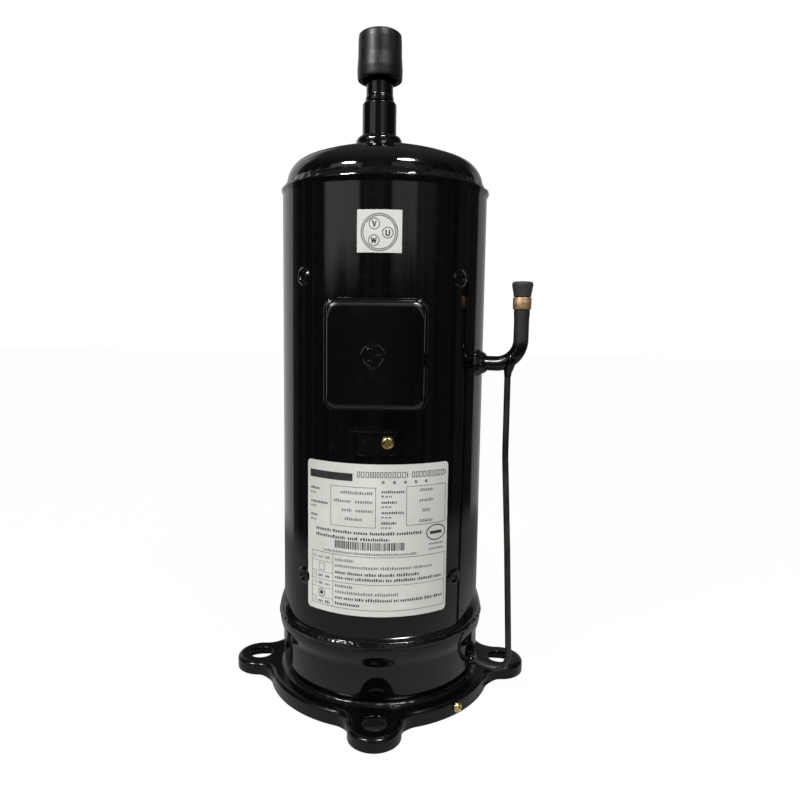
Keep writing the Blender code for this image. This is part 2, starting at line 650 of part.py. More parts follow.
def carriers():
    crank = carrier("crank_axis", (0, 0, 0), ("crankshaft", "rotor_core", "rotor_cage", "upper_balance_weight",
                                              "lower_balance_weight", "oil_pickup_tube"))
    carrier("orbit_axis", (THROW, 0, 0), ("orbiting_scroll", "orbiting_bush"), crank)


shell()
top_cap()
bottom_cap()
weld_beads()
base_plate()
suction_stack()
discharge_line()
labels()
terminal_box()
earth_points()
fixed_scroll()
orbiting_scroll()
oldham_ring()
main_frame()
crankshaft()
balance_weights()
rotor()
stator()
lower_frame()
suction_valve()
discharge_valve()
carriers()
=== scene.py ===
import math
import random

import bmesh
import bpy
from mathutils import Matrix, Vector, noise


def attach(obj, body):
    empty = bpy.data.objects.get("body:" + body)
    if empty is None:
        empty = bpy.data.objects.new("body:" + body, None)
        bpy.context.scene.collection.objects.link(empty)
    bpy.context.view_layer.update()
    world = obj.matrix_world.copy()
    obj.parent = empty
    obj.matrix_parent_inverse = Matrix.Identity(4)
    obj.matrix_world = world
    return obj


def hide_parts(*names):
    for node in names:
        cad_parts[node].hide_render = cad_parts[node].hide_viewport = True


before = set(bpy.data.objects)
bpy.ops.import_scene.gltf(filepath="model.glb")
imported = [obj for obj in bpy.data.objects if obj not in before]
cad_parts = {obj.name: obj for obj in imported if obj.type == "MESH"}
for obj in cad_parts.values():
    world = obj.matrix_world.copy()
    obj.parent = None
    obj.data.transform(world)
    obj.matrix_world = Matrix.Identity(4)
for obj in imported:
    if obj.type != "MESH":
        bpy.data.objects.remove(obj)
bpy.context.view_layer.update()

SCENE = bpy.context.scene
MM = 0.001
TAU = 2 * math.pi

# main sizes in millimetres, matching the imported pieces
SHELL_R = 82.6
PLATE_TOP = 12.7
PLATE_T = 3.2
FOOT_RADIUS = 104.9
FOOT_END = 20.1
RING_R = 94.5
FOOT_FILLET = 16.0
HOLE_R = 9.5
FOOT_SKIRT = 1.7
DOME_R = 79.2
CROWN_R = 180.0
KNUCKLE_R = 21.0
KNUCKLE_AT = DOME_R - KNUCKLE_R
KNUCKLE_Z = 411.5
LEAN = math.asin(KNUCKLE_AT / (CROWN_R - KNUCKLE_R))
SUCTION_X = -5.4
DISCHARGE_AZ = math.radians(-22.0)
DISCHARGE_Z = 273.0
DISCHARGE_LEG = 116.0
BOX_X = -2.2
BOX_Z = 281.2
PIN_CIRCLE = 9.0
BASE_SCREW_AZ = math.radians(-48.5)
BASE_SCREW_Z = 6.6
EARTH_X, EARTH_Z = 6.6, 217.2
FILM_BACK, FILM_R = 82.66, 82.92
INK_BACK, INK_R = 82.90, 82.97
FRONT = (0, -1, 0)


# ---- materials
class Nodes:
    """Short hand for building a node tree."""

    def __init__(self, tree):
        self.tree = tree

    def put(self, socket, value):
        if isinstance(value, bpy.types.NodeSocket):
            self.tree.links.new(value, socket)
        elif isinstance(value, (tuple, list)) and socket.type == "RGBA":
            socket.default_value = (*value, 1.0)[:4]
        else:
            socket.default_value = value

    def add(self, kind, **values):
        node = self.tree.nodes.new("ShaderNode" + kind)
        for name, value in values.items():
            self.put(node.inputs[name], value)
        return node

    def math(self, operation, *values):
        node = self.add("Math")
        node.operation = operation
        for socket, value in zip(node.inputs, values):
            self.put(socket, value)
        return node.outputs[0]

    def ramp(self, value, low, high, out_low=0.0, out_high=1.0):
        node = self.add("MapRange")
        node.interpolation_type = "SMOOTHSTEP"
        for name, v in (("Value", value), ("From Min", low), ("From Max", high), ("To Min", out_low),
                        ("To Max", out_high)):
            self.put(node.inputs[name], v)
        return node.outputs[0]

    def mix(self, factor, a, b):
        node = self.add("Mix")
        node.data_type = "RGBA"
        self.put(node.inputs[0], factor)
        self.put(node.inputs[6], a)
        self.put(node.inputs[7], b)
        return node.outputs[2]

    def noise(self, scale, detail=3.0, roughness=0.55, stretch=(1, 1, 1)):
        where = self.add("TexCoord").outputs["Object"]
        if stretch != (1, 1, 1):
            where = self.add("Mapping", Vector=where, Scale=stretch).outputs[0]
        node = self.add("TexNoise", Vector=where, Scale=scale, Detail=detail, Roughness=roughness)
        return node.outputs["Fac"]

    def height(self):
        return self.add("SeparateXYZ", Vector=self.add("TexCoord").outputs["Object"]).outputs[2]

    def bump(self, height, strength, distance, after=None):
        node = self.add("Bump", Height=height, Strength=strength, Distance=distance)
        if after is not None:
            self.put(node.inputs["Normal"], after)
        return node.outputs[0]


def new_material(name):
    mat = bpy.data.materials.new(name)
    mat.use_nodes = True
    shader = mat.node_tree.nodes["Principled BSDF"]
    return mat, Nodes(mat.node_tree), shader.inputs


def finish(name, dark, light, rough, metallic=0.0, grain=400.0, stretch=(1, 1, 1), bump=0.15, depth=0.0002,
           fine=2500.0, shine=0.5):
    """A worn or textured surface: colour and roughness wander together between two limits."""
    mat, n, pin = new_material(name)
    broad = n.noise(grain, 4.0, 0.6, stretch)
    spots = n.ramp(broad, 0.35, 0.68)
    n.put(pin["Base Color"], n.mix(spots, dark, light))
    n.put(pin["Roughness"], n.ramp(broad, 0.3, 0.7, rough[0], rough[1]))
    n.put(pin["Metallic"], metallic)
    n.put(pin["Specular IOR Level"], shine)
    n.put(pin["Normal"], n.bump(n.noise(fine, 2.0, 0.5, stretch), bump, depth))
    return mat


def gloss_paint(name, low, high, dusty=None, shine=0.5):
    """Dipped black enamel: nearly a mirror, with a faint orange peel, thin dust and tiny nibs.

    dusty gives four heights between which the surface is duller.
    """
    mat, n, pin = new_material(name)
    dust = n.ramp(n.noise(130.0, 5.0, 0.62), 0.52, 0.80)
    n.put(pin["Base Color"], n.mix(dust, (0.0012, 0.0012, 0.0014), (0.0040, 0.0040, 0.0038)))
    rough = n.ramp(n.noise(60.0, 4.0, 0.6), 0.35, 0.75, low, high)
    if dusty:
        band = n.math("MULTIPLY", n.ramp(n.height(), dusty[0], dusty[1]),
                      n.ramp(n.height(), dusty[3], dusty[2]))
        rough = n.math("ADD", rough, n.math("MULTIPLY", band, 0.26))
    n.put(pin["Specular IOR Level"], shine)
    n.put(pin["Roughness"], rough)
    peel = n.bump(n.noise(95.0, 1.5, 0.4), 0.30, 0.00008)
    n.put(pin["Normal"], n.bump(n.noise(900.0, 2.0, 0.5), 0.12, 0.00003, peel))
    return mat


def pipe_paint():
    """The enamel on the discharge pipe: glossy at the shell, thin and dull on the upright leg."""
    mat, n, pin = new_material("pipe_black_enamel")
    edge = n.math("ADD", n.height(), n.math("MULTIPLY", n.noise(160.0, 3.0), 0.006))
    dull = n.ramp(edge, 0.2880, 0.2960)
    n.put(pin["Base Color"], n.mix(dull, (0.0014, 0.0014, 0.0016), (0.0120, 0.0115, 0.0110)))
    n.put(pin["Roughness"], n.math("ADD", n.ramp(n.noise(60.0, 4.0), 0.35, 0.75, 0.16, 0.26),
                                   n.math("MULTIPLY", dull, 0.38)))
    peel = n.bump(n.noise(150.0, 2.0, 0.4), 0.25, 0.00008)
    n.put(pin["Normal"], n.bump(n.noise(1400.0, 2.0, 0.5), 0.2, 0.00006, peel))
    return mat


def laminated(name):
    """Stacked electrical steel: fine rings one above the other."""
    mat, n, pin = new_material(name)
    wave = n.math("SINE", n.math("MULTIPLY", n.height(), TAU / 0.0010))
    n.put(pin["Base Color"], n.mix(n.ramp(wave, -0.6, 0.9), (0.10, 0.10, 0.105), (0.34, 0.34, 0.35)))
    n.put(pin["Roughness"], n.ramp(n.noise(300.0), 0.3, 0.7, 0.35, 0.55))
    n.put(pin["Metallic"], 0.9)
    n.put(pin["Normal"], n.bump(wave, 0.4, 0.0001))
    return mat


M = {
    "paint": gloss_paint("gloss_black_enamel", 0.045, 0.115),
    "satin": gloss_paint("satin_black_enamel", 0.18, 0.27, shine=0.34),
    "seam": gloss_paint("seam_black_enamel", 0.10, 0.20),
    "lid": gloss_paint("lid_black_enamel", 0.07, 0.12, (0.3142, 0.3152, 0.3166, 0.3176)),
    "pipe": pipe_paint(),
    "tube": finish("tube_black_enamel", (0.007, 0.007, 0.006), (0.021, 0.020, 0.017), (0.34, 0.50),
                   grain=120.0, stretch=(1, 1, 0.3), bump=0.2, fine=1400.0),
    "rubber": finish("cap_rubber", (0.006, 0.006, 0.0055), (0.011, 0.011, 0.010), (0.32, 0.44),
                     grain=260.0, stretch=(1, 1, 0.35), bump=0.25, depth=0.00012, fine=1800.0,
                     shine=0.38),
    "plug": finish("plug_rubber", (0.020, 0.023, 0.021), (0.034, 0.039, 0.035), (0.62, 0.80),
                   grain=420.0, bump=0.35, depth=0.00015),
    "copper": finish("bare_copper", (0.62, 0.38, 0.22), (0.80, 0.54, 0.34), (0.34, 0.50), 0.85,
                     grain=140.0, stretch=(1, 1, 2.5), bump=0.1),
    "brass": finish("yellow_brass", (0.52, 0.38, 0.14), (0.86, 0.70, 0.36), (0.20, 0.36), 1.0,
                    grain=600.0, bump=0.12, depth=0.0001),
    "paper": finish("label_film", (0.64, 0.64, 0.60), (0.72, 0.72, 0.68), (0.30, 0.42),
                    grain=24.0, bump=0.12, depth=0.00008, fine=700.0),
    "ink": finish("label_ink", (0.018, 0.018, 0.020), (0.040, 0.040, 0.042), (0.34, 0.46),
                  grain=500.0, bump=0.05),
    "soft_ink": finish("label_soft_ink", (0.13, 0.13, 0.13), (0.24, 0.24, 0.235), (0.34, 0.46),
                       grain=700.0, bump=0.05),
    "steel": finish("machined_steel", (0.40, 0.40, 0.41), (0.62, 0.62, 0.63), (0.24, 0.40), 1.0,
                    grain=500.0, bump=0.1),
    "zinc": finish("plated_steel", (0.48, 0.48, 0.46), (0.70, 0.70, 0.68), (0.28, 0.42), 1.0,
                   grain=700.0, bump=0.12),
    "glass": finish("seal_glass", (0.03, 0.09, 0.075), (0.06, 0.15, 0.125), (0.05, 0.14),
                    grain=500.0, bump=0.08),
    "iron": finish("cast_iron", (0.13, 0.13, 0.135), (0.27, 0.27, 0.275), (0.42, 0.62), 0.8,
                   grain=350.0, bump=0.5, depth=0.0003, fine=1200.0),
    "bronze": finish("bearing_bronze", (0.46, 0.32, 0.15), (0.68, 0.52, 0.30), (0.28, 0.42), 1.0,
                     bump=0.12),
    "aluminium": finish("cast_aluminium", (0.52, 0.53, 0.55), (0.76, 0.77, 0.79), (0.32, 0.48), 1.0,
                        grain=380.0, bump=0.3),
    "winding": finish("enamelled_wire", (0.36, 0.15, 0.06), (0.62, 0.30, 0.14), (0.25, 0.40), 0.85,
                      grain=900.0, stretch=(1, 1, 5), bump=0.6, depth=0.0004, fine=1400.0),
    "sleeve": finish("lead_sleeve", (0.05, 0.06, 0.18), (0.09, 0.10, 0.28), (0.45, 0.60),
                     grain=700.0, bump=0.4, fine=2200.0),
    "lamination": laminated("laminated_steel"),
}

INSIDE = {
    "iron": ("fixed_scroll", "orbiting_scroll", "main_frame", "lower_frame"),
    "bronze": ("main_bearing_bush", "orbiting_bush", "lower_bearing_bush"),
    "brass": ("upper_balance_weight", "lower_balance_weight"),
    "aluminium": ("oldham_ring", "rotor_cage"),
    "lamination": ("rotor_core", "stator_core"),
    "winding": ("stator_winding",),
    "sleeve": ("motor_lead_bundle",),
    "steel": ("crankshaft", "crank_oil_plug", "oil_pickup_tube", "suction_inner_elbow", "suction_valve_disc",
              "suction_valve_spring", "discharge_reed", "reed_guard", "reed_bolt", "scroll_bolt_1",
              "scroll_bolt_2", "scroll_bolt_3", "scroll_bolt_4"),
}
for key, names in INSIDE.items():
    for name in names:
        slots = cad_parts[name].data.materials
        slots.clear()
        slots.append(M[key])


# ---- building meshes
def piece(name, verts, faces, mat, sharp=38.0):
    """A mesh object from millimetre points."""
    mesh = bpy.data.meshes.new(name)
    mesh.from_pydata([tuple(Vector(v) * MM) for v in verts], [], faces)
    bm = bmesh.new()
    bm.from_mesh(mesh)
    bmesh.ops.recalc_face_normals(bm, faces=bm.faces)
    bm.to_mesh(mesh)
    bm.free()
    mesh.shade_smooth()
    mesh.set_sharp_from_angle(angle=math.radians(sharp))
    ob = bpy.data.objects.new(name, mesh)
    SCENE.collection.objects.link(ob)
    mesh.materials.append(M[mat])
    return ob


def loops(rows, closed=False):
    """Faces that join rows of points, each a ring of the same count or a single pole."""
    verts, faces, starts = [], [], []
    for row in rows:
        starts.append(len(verts))
        verts += row
    pairs = [(i, i + 1) for i in range(len(rows) - 1)]
    if closed:
        pairs.append((len(rows) - 1, 0))
    for a, b in pairs:
        na, nb, sa, sb = len(rows[a]), len(rows[b]), starts[a], starts[b]
        for i in range(max(na, nb)):
            j = (i + 1) % max(na, nb)
            if na == 1 and nb == 1:
                continue
            if na == 1:
                faces.append((sa, sb + j, sb + i))
            elif nb == 1:
                faces.append((sa + i, sa + j, sb))
            else:
                faces.append((sa + i, sa + j, sb + j, sb + i))
    return verts, faces


def rounded(points, closed=True, steps=5):
    """A polyline with rounded corners; a corner's third number is its radius."""
    out = []
    n = len(points)
    for i, p in enumerate(points):
        if len(p) == 2 or (not closed and i in (0, n - 1)):
            out.append((p[0], p[1]))
            continue
        corner = Vector(p[:2])
        a = Vector(points[i - 1][:2]) - corner
        b = Vector(points[(i + 1) % n][:2]) - corner
        half = a.angle(b) / 2
        touch = min(p[2] / math.tan(half), 0.48 * a.length, 0.48 * b.length)
        radius = touch * math.tan(half)
        centre = corner + (a.normalized() + b.normalized()).normalized() * radius / math.sin(half)
        start = corner + a.normalized() * touch - centre
        end = corner + b.normalized() * touch - centre
        turn = start.angle_signed(end)
        for k in range(steps + 1):
            angle = math.atan2(start.y, start.x) - turn * k / steps
            out.append((centre.x + radius * math.cos(angle), centre.y + radius * math.sin(angle)))
    return out


def frame_of(at, axis):
    """Placement whose local Z runs along axis from at."""
    axis = Vector(axis).normalized()
    if abs(axis.z) > 0.999:
        return Matrix.Translation(at)
    side = Vector((0, 0, 1)).cross(axis).normalized()
    up = axis.cross(side)
    turn = Matrix((side, up, axis)).transposed().to_4x4()
    return Matrix.Translation(at) @ turn


def turned(profile, sides, at=(0, 0, 0), axis=(0, 0, 1), wobble=None):
    """Rows of points for an outline turned about an axis."""
    place = frame_of(Vector(at), axis)
    rows = []
    for r, z in profile:
        if r < 1e-6:
            rows.append([place @ Vector((0, 0, z))])
            continue
        row = []
        for i in range(sides):
            angle = TAU * i / sides
            dr, dz = wobble(angle, r, z) if wobble else (0.0, 0.0)
            row.append(place @ around(angle, r + dr, z + dz))
        rows.append(row)
    return rows


def lathe(name, profile, mat, sides=128, at=(0, 0, 0), axis=(0, 0, 1), wobble=None):
    """A turned solid; its outline is closed unless it starts or ends on the axis."""
    on_axis = profile[0][0] < 1e-6 or profile[-1][0] < 1e-6
    return piece(name, *loops(turned(profile, sides, at, axis, wobble), not on_axis), mat)


def drill(radius, low, high, sides, at=(0, 0, 0), axis=(0, 0, 1)):
    """A plain cylinder to cut with."""
    return lathe("drill", [(0.0, low), (radius, low), (radius, high), (0.0, high)], "paint", sides, at, axis)


def join(name, parts):
    """Several pieces as one object."""
    bpy.ops.object.select_all(action="DESELECT")
    for part in parts:
        part.select_set(True)
    bpy.context.view_layer.objects.active = parts[0]
    bpy.ops.object.join()
    parts[0].name = parts[0].data.name = name
    return parts[0]


def cut(ob, *tools):
    """Boolean difference, applied."""
    for tool in tools:
        mod = ob.modifiers.new("cut", "BOOLEAN")
        mod.operation = "DIFFERENCE"
        mod.solver = "EXACT"
        mod.object = tool
        bpy.context.view_layer.update()
        depsgraph = bpy.context.evaluated_depsgraph_get()
        mesh = bpy.data.meshes.new_from_object(ob.evaluated_get(depsgraph))
        ob.modifiers.clear()
        old = ob.data
        ob.data = mesh
        bpy.data.meshes.remove(old)
    for tool in tools:
        bpy.data.objects.remove(tool, do_unlink=True)
    while len(ob.data.materials) > 1:
        ob.data.materials.pop(index=len(ob.data.materials) - 1)
    ob.data.shade_smooth()
    ob.data.set_sharp_from_angle(angle=math.radians(38))
    return ob


def even_normals(ob):
    """Keeps broad flat faces flat beside their rounded edges."""
    mod = ob.modifiers.new("even", "WEIGHTED_NORMAL")
    mod.keep_sharp = True
    mod.weight = 80
    return ob


def sweep(points, radius, sides, caps=True):
    """Rows of points round a path; radius may be a list."""
    points = [Vector(p) for p in points]
    radii = radius if isinstance(radius, (list, tuple)) else [radius] * len(points)
    rows = []
    side = None
    for i, p in enumerate(points):
        a = points[max(i - 1, 0)]
        b = points[min(i + 1, len(points) - 1)]
        along = (b - a).normalized()
        if side is None:
            side = along.orthogonal().normalized()
        side = (side - along * side.dot(along)).normalized()
        up = along.cross(side)
        rows.append([p + (side * math.cos(TAU * k / sides) + up * math.sin(TAU * k / sides)) * radii[i]
                     for k in range(sides)])
    if caps:
        rows = [[points[0]]] + rows + [[points[-1]]]
    return rows


def bent(corners, radii, steps):
    """Straight runs joined by circular bends."""
    points = [Vector(corners[0])]
    for before, corner, after, radius in zip(corners, corners[1:], corners[2:], radii):
        corner = Vector(corner)
        a = (Vector(before) - corner).normalized()
        b = (Vector(after) - corner).normalized()
        half = a.angle(b) / 2
        centre = corner + (a + b).normalized() * radius / math.sin(half)
        first = (corner + a * radius / math.tan(half) - centre).normalized()
        last = (corner + b * radius / math.tan(half) - centre).normalized()
        points += [centre + first.slerp(last, i / steps) * radius for i in range(steps + 1)]
    points.append(Vector(corners[-1]))
    return points


def around(azimuth, r, z):
    return Vector((r * math.cos(azimuth), r * math.sin(azimuth), z))


def bead(size, length, seed, ripple=0.0, waves=60):
    """Wobble for a weld: lumps of the given height and length, with fine ripples along it."""
    def move(angle, r, z):
        p = around(angle, r, z) / length + Vector((seed, 0, 0))
        lump = noise.noise(p) * size
        return lump + ripple * math.sin(waves * angle + 2.0 * noise.noise(p * 0.5)), lump * 0.5
    return move


def rides(ob, body, slot, *nodes):
    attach(ob, body)
    if nodes:
        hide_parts(*nodes)
    return ob


def fixed(ob, *nodes):
    """A black enamelled piece of the housing."""
    return rides(ob, "housing", "black_paint", *nodes)


# ---- body of the compressor
def shell():
    outline = rounded([(79.6, 50.5), (82.5, 50.5), (SHELL_R, 60.0), (SHELL_R, 403.6, 5.0), (84.3, 406.6, 0.8),
                       (84.0, 408.2, 0.7), (82.6, 408.0, 0.4), (81.8, 405.8), (79.6, 405.0)])
    tube = lathe("shell_tube", outline, "paint", 192, wobble=lip_wobble)
    fixed(cut(tube, drill(22.6, 60.0, 92.0, 64, (BOX_X, 0, BOX_Z), FRONT)), "shell")


def lip_wobble(angle, r, z):
    """The trimmed upper edge of the tube is a little uneven."""
    share = min(max((z - 402.0) / 5.0, 0.0), 1.0)
    p = around(angle, 9.0, 1.8)
    out = 0.35 * noise.noise(p) - 0.8 * max(0.0, -math.cos(angle))
    return share * out, share * 0.5 * noise.noise(p * 2.1)


def plug_welds():
    """Eight plug welds that hold the inner frames: a raised ring with a sunken middle and a nib."""
    rings = []
    for level, (z, lean) in enumerate(((337.2, 0.0), (106.6, 0.4))):
        for k in range(4):
            az = math.radians(45 + 90 * k + lean)
            outline = [(0.0, 83.1), (0.8, 83.0), (1.7, 82.6), (2.8, 82.72), (3.6, 83.35), (4.3, 83.8),
                       (5.1, 83.75), (5.9, 83.25), (6.6, 82.75), (7.4, 82.3), (7.4, 81.6), (0.0, 81.6)]
            rings.append(lathe("plug_weld_%d%d" % (level, k), outline, "paint", 40, (0, 0, z),
                               around(az, 1, 0), bead(0.35, 2.6, 3.1 * k + 9 * level)))
    fixed(join("plug_welds", rings))


def dome_height(r):
    """Height of the top cap at a radius."""
    r = min(r, DOME_R)
    if r <= CROWN_R * math.sin(LEAN):
        return KNUCKLE_Z - (CROWN_R - KNUCKLE_R) * math.cos(LEAN) + math.sqrt(CROWN_R ** 2 - r * r)
    return KNUCKLE_Z + math.sqrt(max(KNUCKLE_R ** 2 - (r - KNUCKLE_AT) ** 2, 0.0))


def top_cap():
    outer = [(DOME_R, 398.0), (DOME_R, 405.0)]
    for i in range(14):
        a = (math.pi / 2 - LEAN) * i / 13
        outer.append((KNUCKLE_AT + KNUCKLE_R * math.cos(a), KNUCKLE_Z + KNUCKLE_R * math.sin(a)))
    for i in range(1, 26):
        r = CROWN_R * math.sin(LEAN) * (1 - i / 25)
        outer.append((r, dome_height(r)))
    inner = [(0.0, 440.0), (30.0, 437.6), (60.0, 430.0), (72.0, 421.0), (75.8, 411.0), (75.8, 398.0)]
    fixed(lathe("top_dome", outer + inner, "paint", 192), "top_cap")
    seam = [(79.3, 404.2), (82.3, 404.6), (82.5, 407.0), (82.0, 408.6), (81.2, 409.6), (80.2, 411.0),
            (79.5, 412.6), (78.9, 413.4), (78.6, 409.0)]
    fixed(lathe("top_seam_weld", seam, "paint", 300, wobble=bead(0.75, 3.2, 4.0, 0.14, 150)),
          "upper_weld_bead")


def bottom_cap():
    outline = rounded([(83.2, 63.0), (85.6, 63.0, 0.6), (86.5, 58.0, 30.0), (86.0, 52.4, 18.0),
                       (83.5, 45.2, 11.0), (83.3, 22.0)], False, 9)
    for i in range(1, 13):
        a = math.pi / 2 * 0.93 * i / 12
        outline.append((67.3 + 16.0 * math.cos(a), 22.0 - 16.0 * math.sin(a)))
    outline += [(40.0, 3.9), (0.0, 2.6), (0.0, 6.5), (40.0, 7.6), (66.0, 9.6), (76.5, 15.0), (79.8, 24.0),
                (80.0, 44.5), (83.2, 49.5)]
    fixed(piece("bottom_cup", *loops(turned(outline, 192), True), "paint"), "bottom_cap")
    ledge = [(82.3, 58.6), (82.3, 79.5), (82.68, 78.0), (82.95, 76.0), (83.5, 73.8), (84.2, 71.6),
             (84.95, 69.4), (85.6, 67.2), (86.05, 65.2), (86.2, 63.9), (85.9, 63.2), (86.3, 62.6),
             (86.9, 61.6), (87.0, 60.5), (86.7, 59.5), (86.2, 58.8), (85.4, 58.2)]
    fixed(lathe("bottom_seam_weld", ledge, "seam", 540, wobble=weld_ledge), "lower_weld_bead")
    seat = [(78.6, 11.8), (79.4, 14.4), (81.9, 16.6), (82.0, 15.2), (82.8, 14.0), (84.2, 13.3), (85.4, 12.5),
            (85.0, 11.8)]
    fixed(lathe("plate_seat_weld", seat, "satin", 240, wobble=bead(0.30, 4.0, 7.0)), "plate_weld_bead")


def weld_ledge(angle, r, z):
    """Ripples along the lower seam, strongest on its lip; the flare above it is shortest in front."""
    lip = max(0.0, 1.0 - abs(z - 61.6) / 3.4) if r > 83.0 else 0.0
    p = around(angle, 86 / 2.6, z / 2.2)
    slow = noise.noise(p * 0.2 + Vector((5, 0, 0)))
    fine = noise.noise(p * 1.7 + Vector((0, 0, 4)))
    front = min(max((math.cos(angle + math.radians(92)) - 0.30) / 0.4, 0.0), 1.0)
    squeeze = 0.80 * front * front * (3 - 2 * front) * max(z - 64.0, 0.0)
    ripple = 0.15 * noise.noise(p * 0.8 + Vector((3, 0, 0))) if 83.2 < r < 86.3 and z > 63.5 else 0.0
    return (lip * (0.42 * noise.noise(p) + 0.22 * fine + 0.30 * slow) + ripple,
            lip * (0.60 * noise.noise(p + Vector((0, 9, 0))) + 0.30 * fine + 0.5 * slow) - squeeze)


# ---- base plate
def foot_outline(inset, steps=14):
    """Base outline drawn in by inset: four feet joined to the ring by hollow fillets."""
    end, body, fillet = FOOT_END - inset, RING_R - inset, FOOT_FILLET + inset
    cy = end + fillet
    cx = math.sqrt((body + fillet) ** 2 - cy ** 2)
    touch = math.atan2(cy, cx)
    eighth = [(FOOT_RADIUS + end, 0.0)]
    for x, y, r, first, last in ((FOOT_RADIUS, 0.0, end, 0.0, math.pi / 2),
                                 (cx, cy, fillet, -math.pi / 2, touch - math.pi),
                                 (0.0, 0.0, body, touch, math.pi / 4)):
        for i in range(1, steps + 1):
            a = first + (last - first) * i / steps
            eighth.append((x + r * math.cos(a), y + r * math.sin(a)))
    quarter = eighth + [(y, x) for x, y in eighth[-2:0:-1]]
    out = []
    for c, s in ((1, 0), (0, 1), (-1, 0), (0, -1)):
        out += [(c * x - s * y, s * x + c * y) for x, y in quarter]
    return out


def skirt_foot(x, y):
    """Height of the skirt's lower edge: down to the floor on the ring, short on the feet."""
    t = min(max((math.hypot(x, y) - 95.0) / 9.0, 0.0), 1.0)
    return FOOT_SKIRT * t * t * (3 - 2 * t)


def base_plate():
    rows = []
    edge = foot_outline(0.0)
    bearing = [math.atan2(y, x) for x, y in edge]

    def circle_row(r, z):
        rows.append([around(a, r, z) for a in bearing])

    def outline_row(inset, height):
        rows.append([Vector((x, y, height(*at))) for at, (x, y) in zip(edge, foot_outline(inset))])

    shoulder, thick = 3.4, 2.9
    circle_row(81.0, PLATE_TOP - 0.4)
    circle_row(81.4, PLATE_TOP)
    circle_row(84.0, PLATE_TOP)
    outline_row(shoulder + 1.2, lambda x, y: PLATE_TOP)
    for k in range(8):
        a = math.pi / 2 * k / 7
        outline_row(shoulder * (1 - math.sin(a)), lambda x, y, a=a: PLATE_TOP - shoulder * (1 - math.cos(a)))
    for inset, lift in ((0.0, 1.2), (0.15, 0.45), (0.7, 0.0), (thick - 0.6, 0.0), (thick - 0.1, 0.4)):
        outline_row(inset, lambda x, y, lift=lift: skirt_foot(x, y) + lift)
    outline_row(thick, lambda x, y: 8.6)
    outline_row(thick + 1.0, lambda x, y: PLATE_TOP - PLATE_T)
    circle_row(84.0, PLATE_TOP - PLATE_T)
    circle_row(81.4, PLATE_TOP - PLATE_T)
    circle_row(81.0, PLATE_TOP - PLATE_T + 0.4)
    plate = piece("base_stamping", *loops(rows, True), "satin")
    low, high, lip = PLATE_TOP - PLATE_T, PLATE_TOP, 0.9
    turns = [(lip * math.sin(a), lip * (1 - math.cos(a))) for a in (0.3, 0.7, 1.1, math.pi / 2)]
    flare = [(HOLE_R + lip, low - 4), (HOLE_R + lip, low)]
    flare += [(HOLE_R + lip - inward, low + up) for inward, up in turns]
    flare += [(HOLE_R + lip - inward, high - down) for inward, down in turns[::-1]]
    flare += [(HOLE_R + lip, high), (HOLE_R + lip, high + 4)]
    tools = []
    for k in range(4):
        tools.append(lathe("hole_%d" % k, [(0.0, low - 4)] + flare + [(0.0, high + 4)], "paint", 64,
                           around(k * math.pi / 2, FOOT_RADIUS, 0)))
    tools.append(drill(2.6, 84.0, 104.0, 24, (0, 0, BASE_SCREW_Z), around(BASE_SCREW_AZ, 1, 0)))
    fixed(even_normals(cut(plate, *tools)), "base_plate")


# ---- pipes on the top and side
def suction_stack():
    at = (SUCTION_X, 0, 0)
    drop = dome_height(26.0) - 0.6
    collar = [(13.4, 438.0), (13.4, 453.0), (14.4, 452.8), (16.0, 452.2), (17.5, 451.0), (18.4, 449.3),
              (18.6, 447.8), (18.4, 446.6), (19.0, 445.6), (21.0, 444.7), (23.8, 443.6), (27.0, drop),
              (24.0, 438.0)]
    fixed(lathe("suction_weld", collar, "paint", 96, at, wobble=bead(0.35, 5.0, 2.0)), "suction_collar")
    sleeve = rounded([(11.0, 436.0), (13.65, 436.0), (13.65, 477.4, 0.9), (12.4, 479.3, 0.6),
                      (11.4, 479.2, 0.3), (11.0, 478.6)])
    fixed(lathe("suction_boss", sleeve, "paint", 96, at), "suction_sleeve")
    stub = rounded([(9.5, 436.0), (10.5, 436.0), (10.6, 479.0, 0.2), (11.3, 479.9, 0.6), (11.4, 482.4, 0.9),
                    (10.7, 484.4, 2.0), (10.7, 503.0, 0.2), (10.6, 503.3), (9.5, 503.3)])
    end = rounded([(9.5, 503.5), (10.65, 503.5), (10.65, 517.4, 0.4), (9.5, 517.4, 0.4)])
    fixed(join("suction_stub", [lathe("stub_painted", stub, "paint", 96, at),
                                lathe("stub_bare", end, "copper", 96, at)]), "suction_pipe")
    cap = rounded([(0.0, 532.7), (14.6, 532.5, 4.0), (17.0, 530.6, 1.4), (17.4, 526.0, 8.0),
                   (17.5, 514.0, 30.0), (18.2, 504.0, 14.0), (18.0, 498.4, 6.0), (17.8, 496.6, 0.8),
                   (17.0, 495.9, 0.6), (14.3, 495.9, 0.8), (13.8, 501.5, 1.2), (11.2, 503.0, 0.8),
                   (11.0, 518.5), (0.0, 518.5)], False, 6)
    rides(lathe("suction_cap_rubber", cap, "rubber", 128, at, wobble=bead(0.12, 14.0, 1.0)), "suction_cap",
          "rubber", "suction_rubber_cap")


def outward(r, z):
    """A point straight out from the shell on the discharge side."""
    return around(DISCHARGE_AZ, r, z)


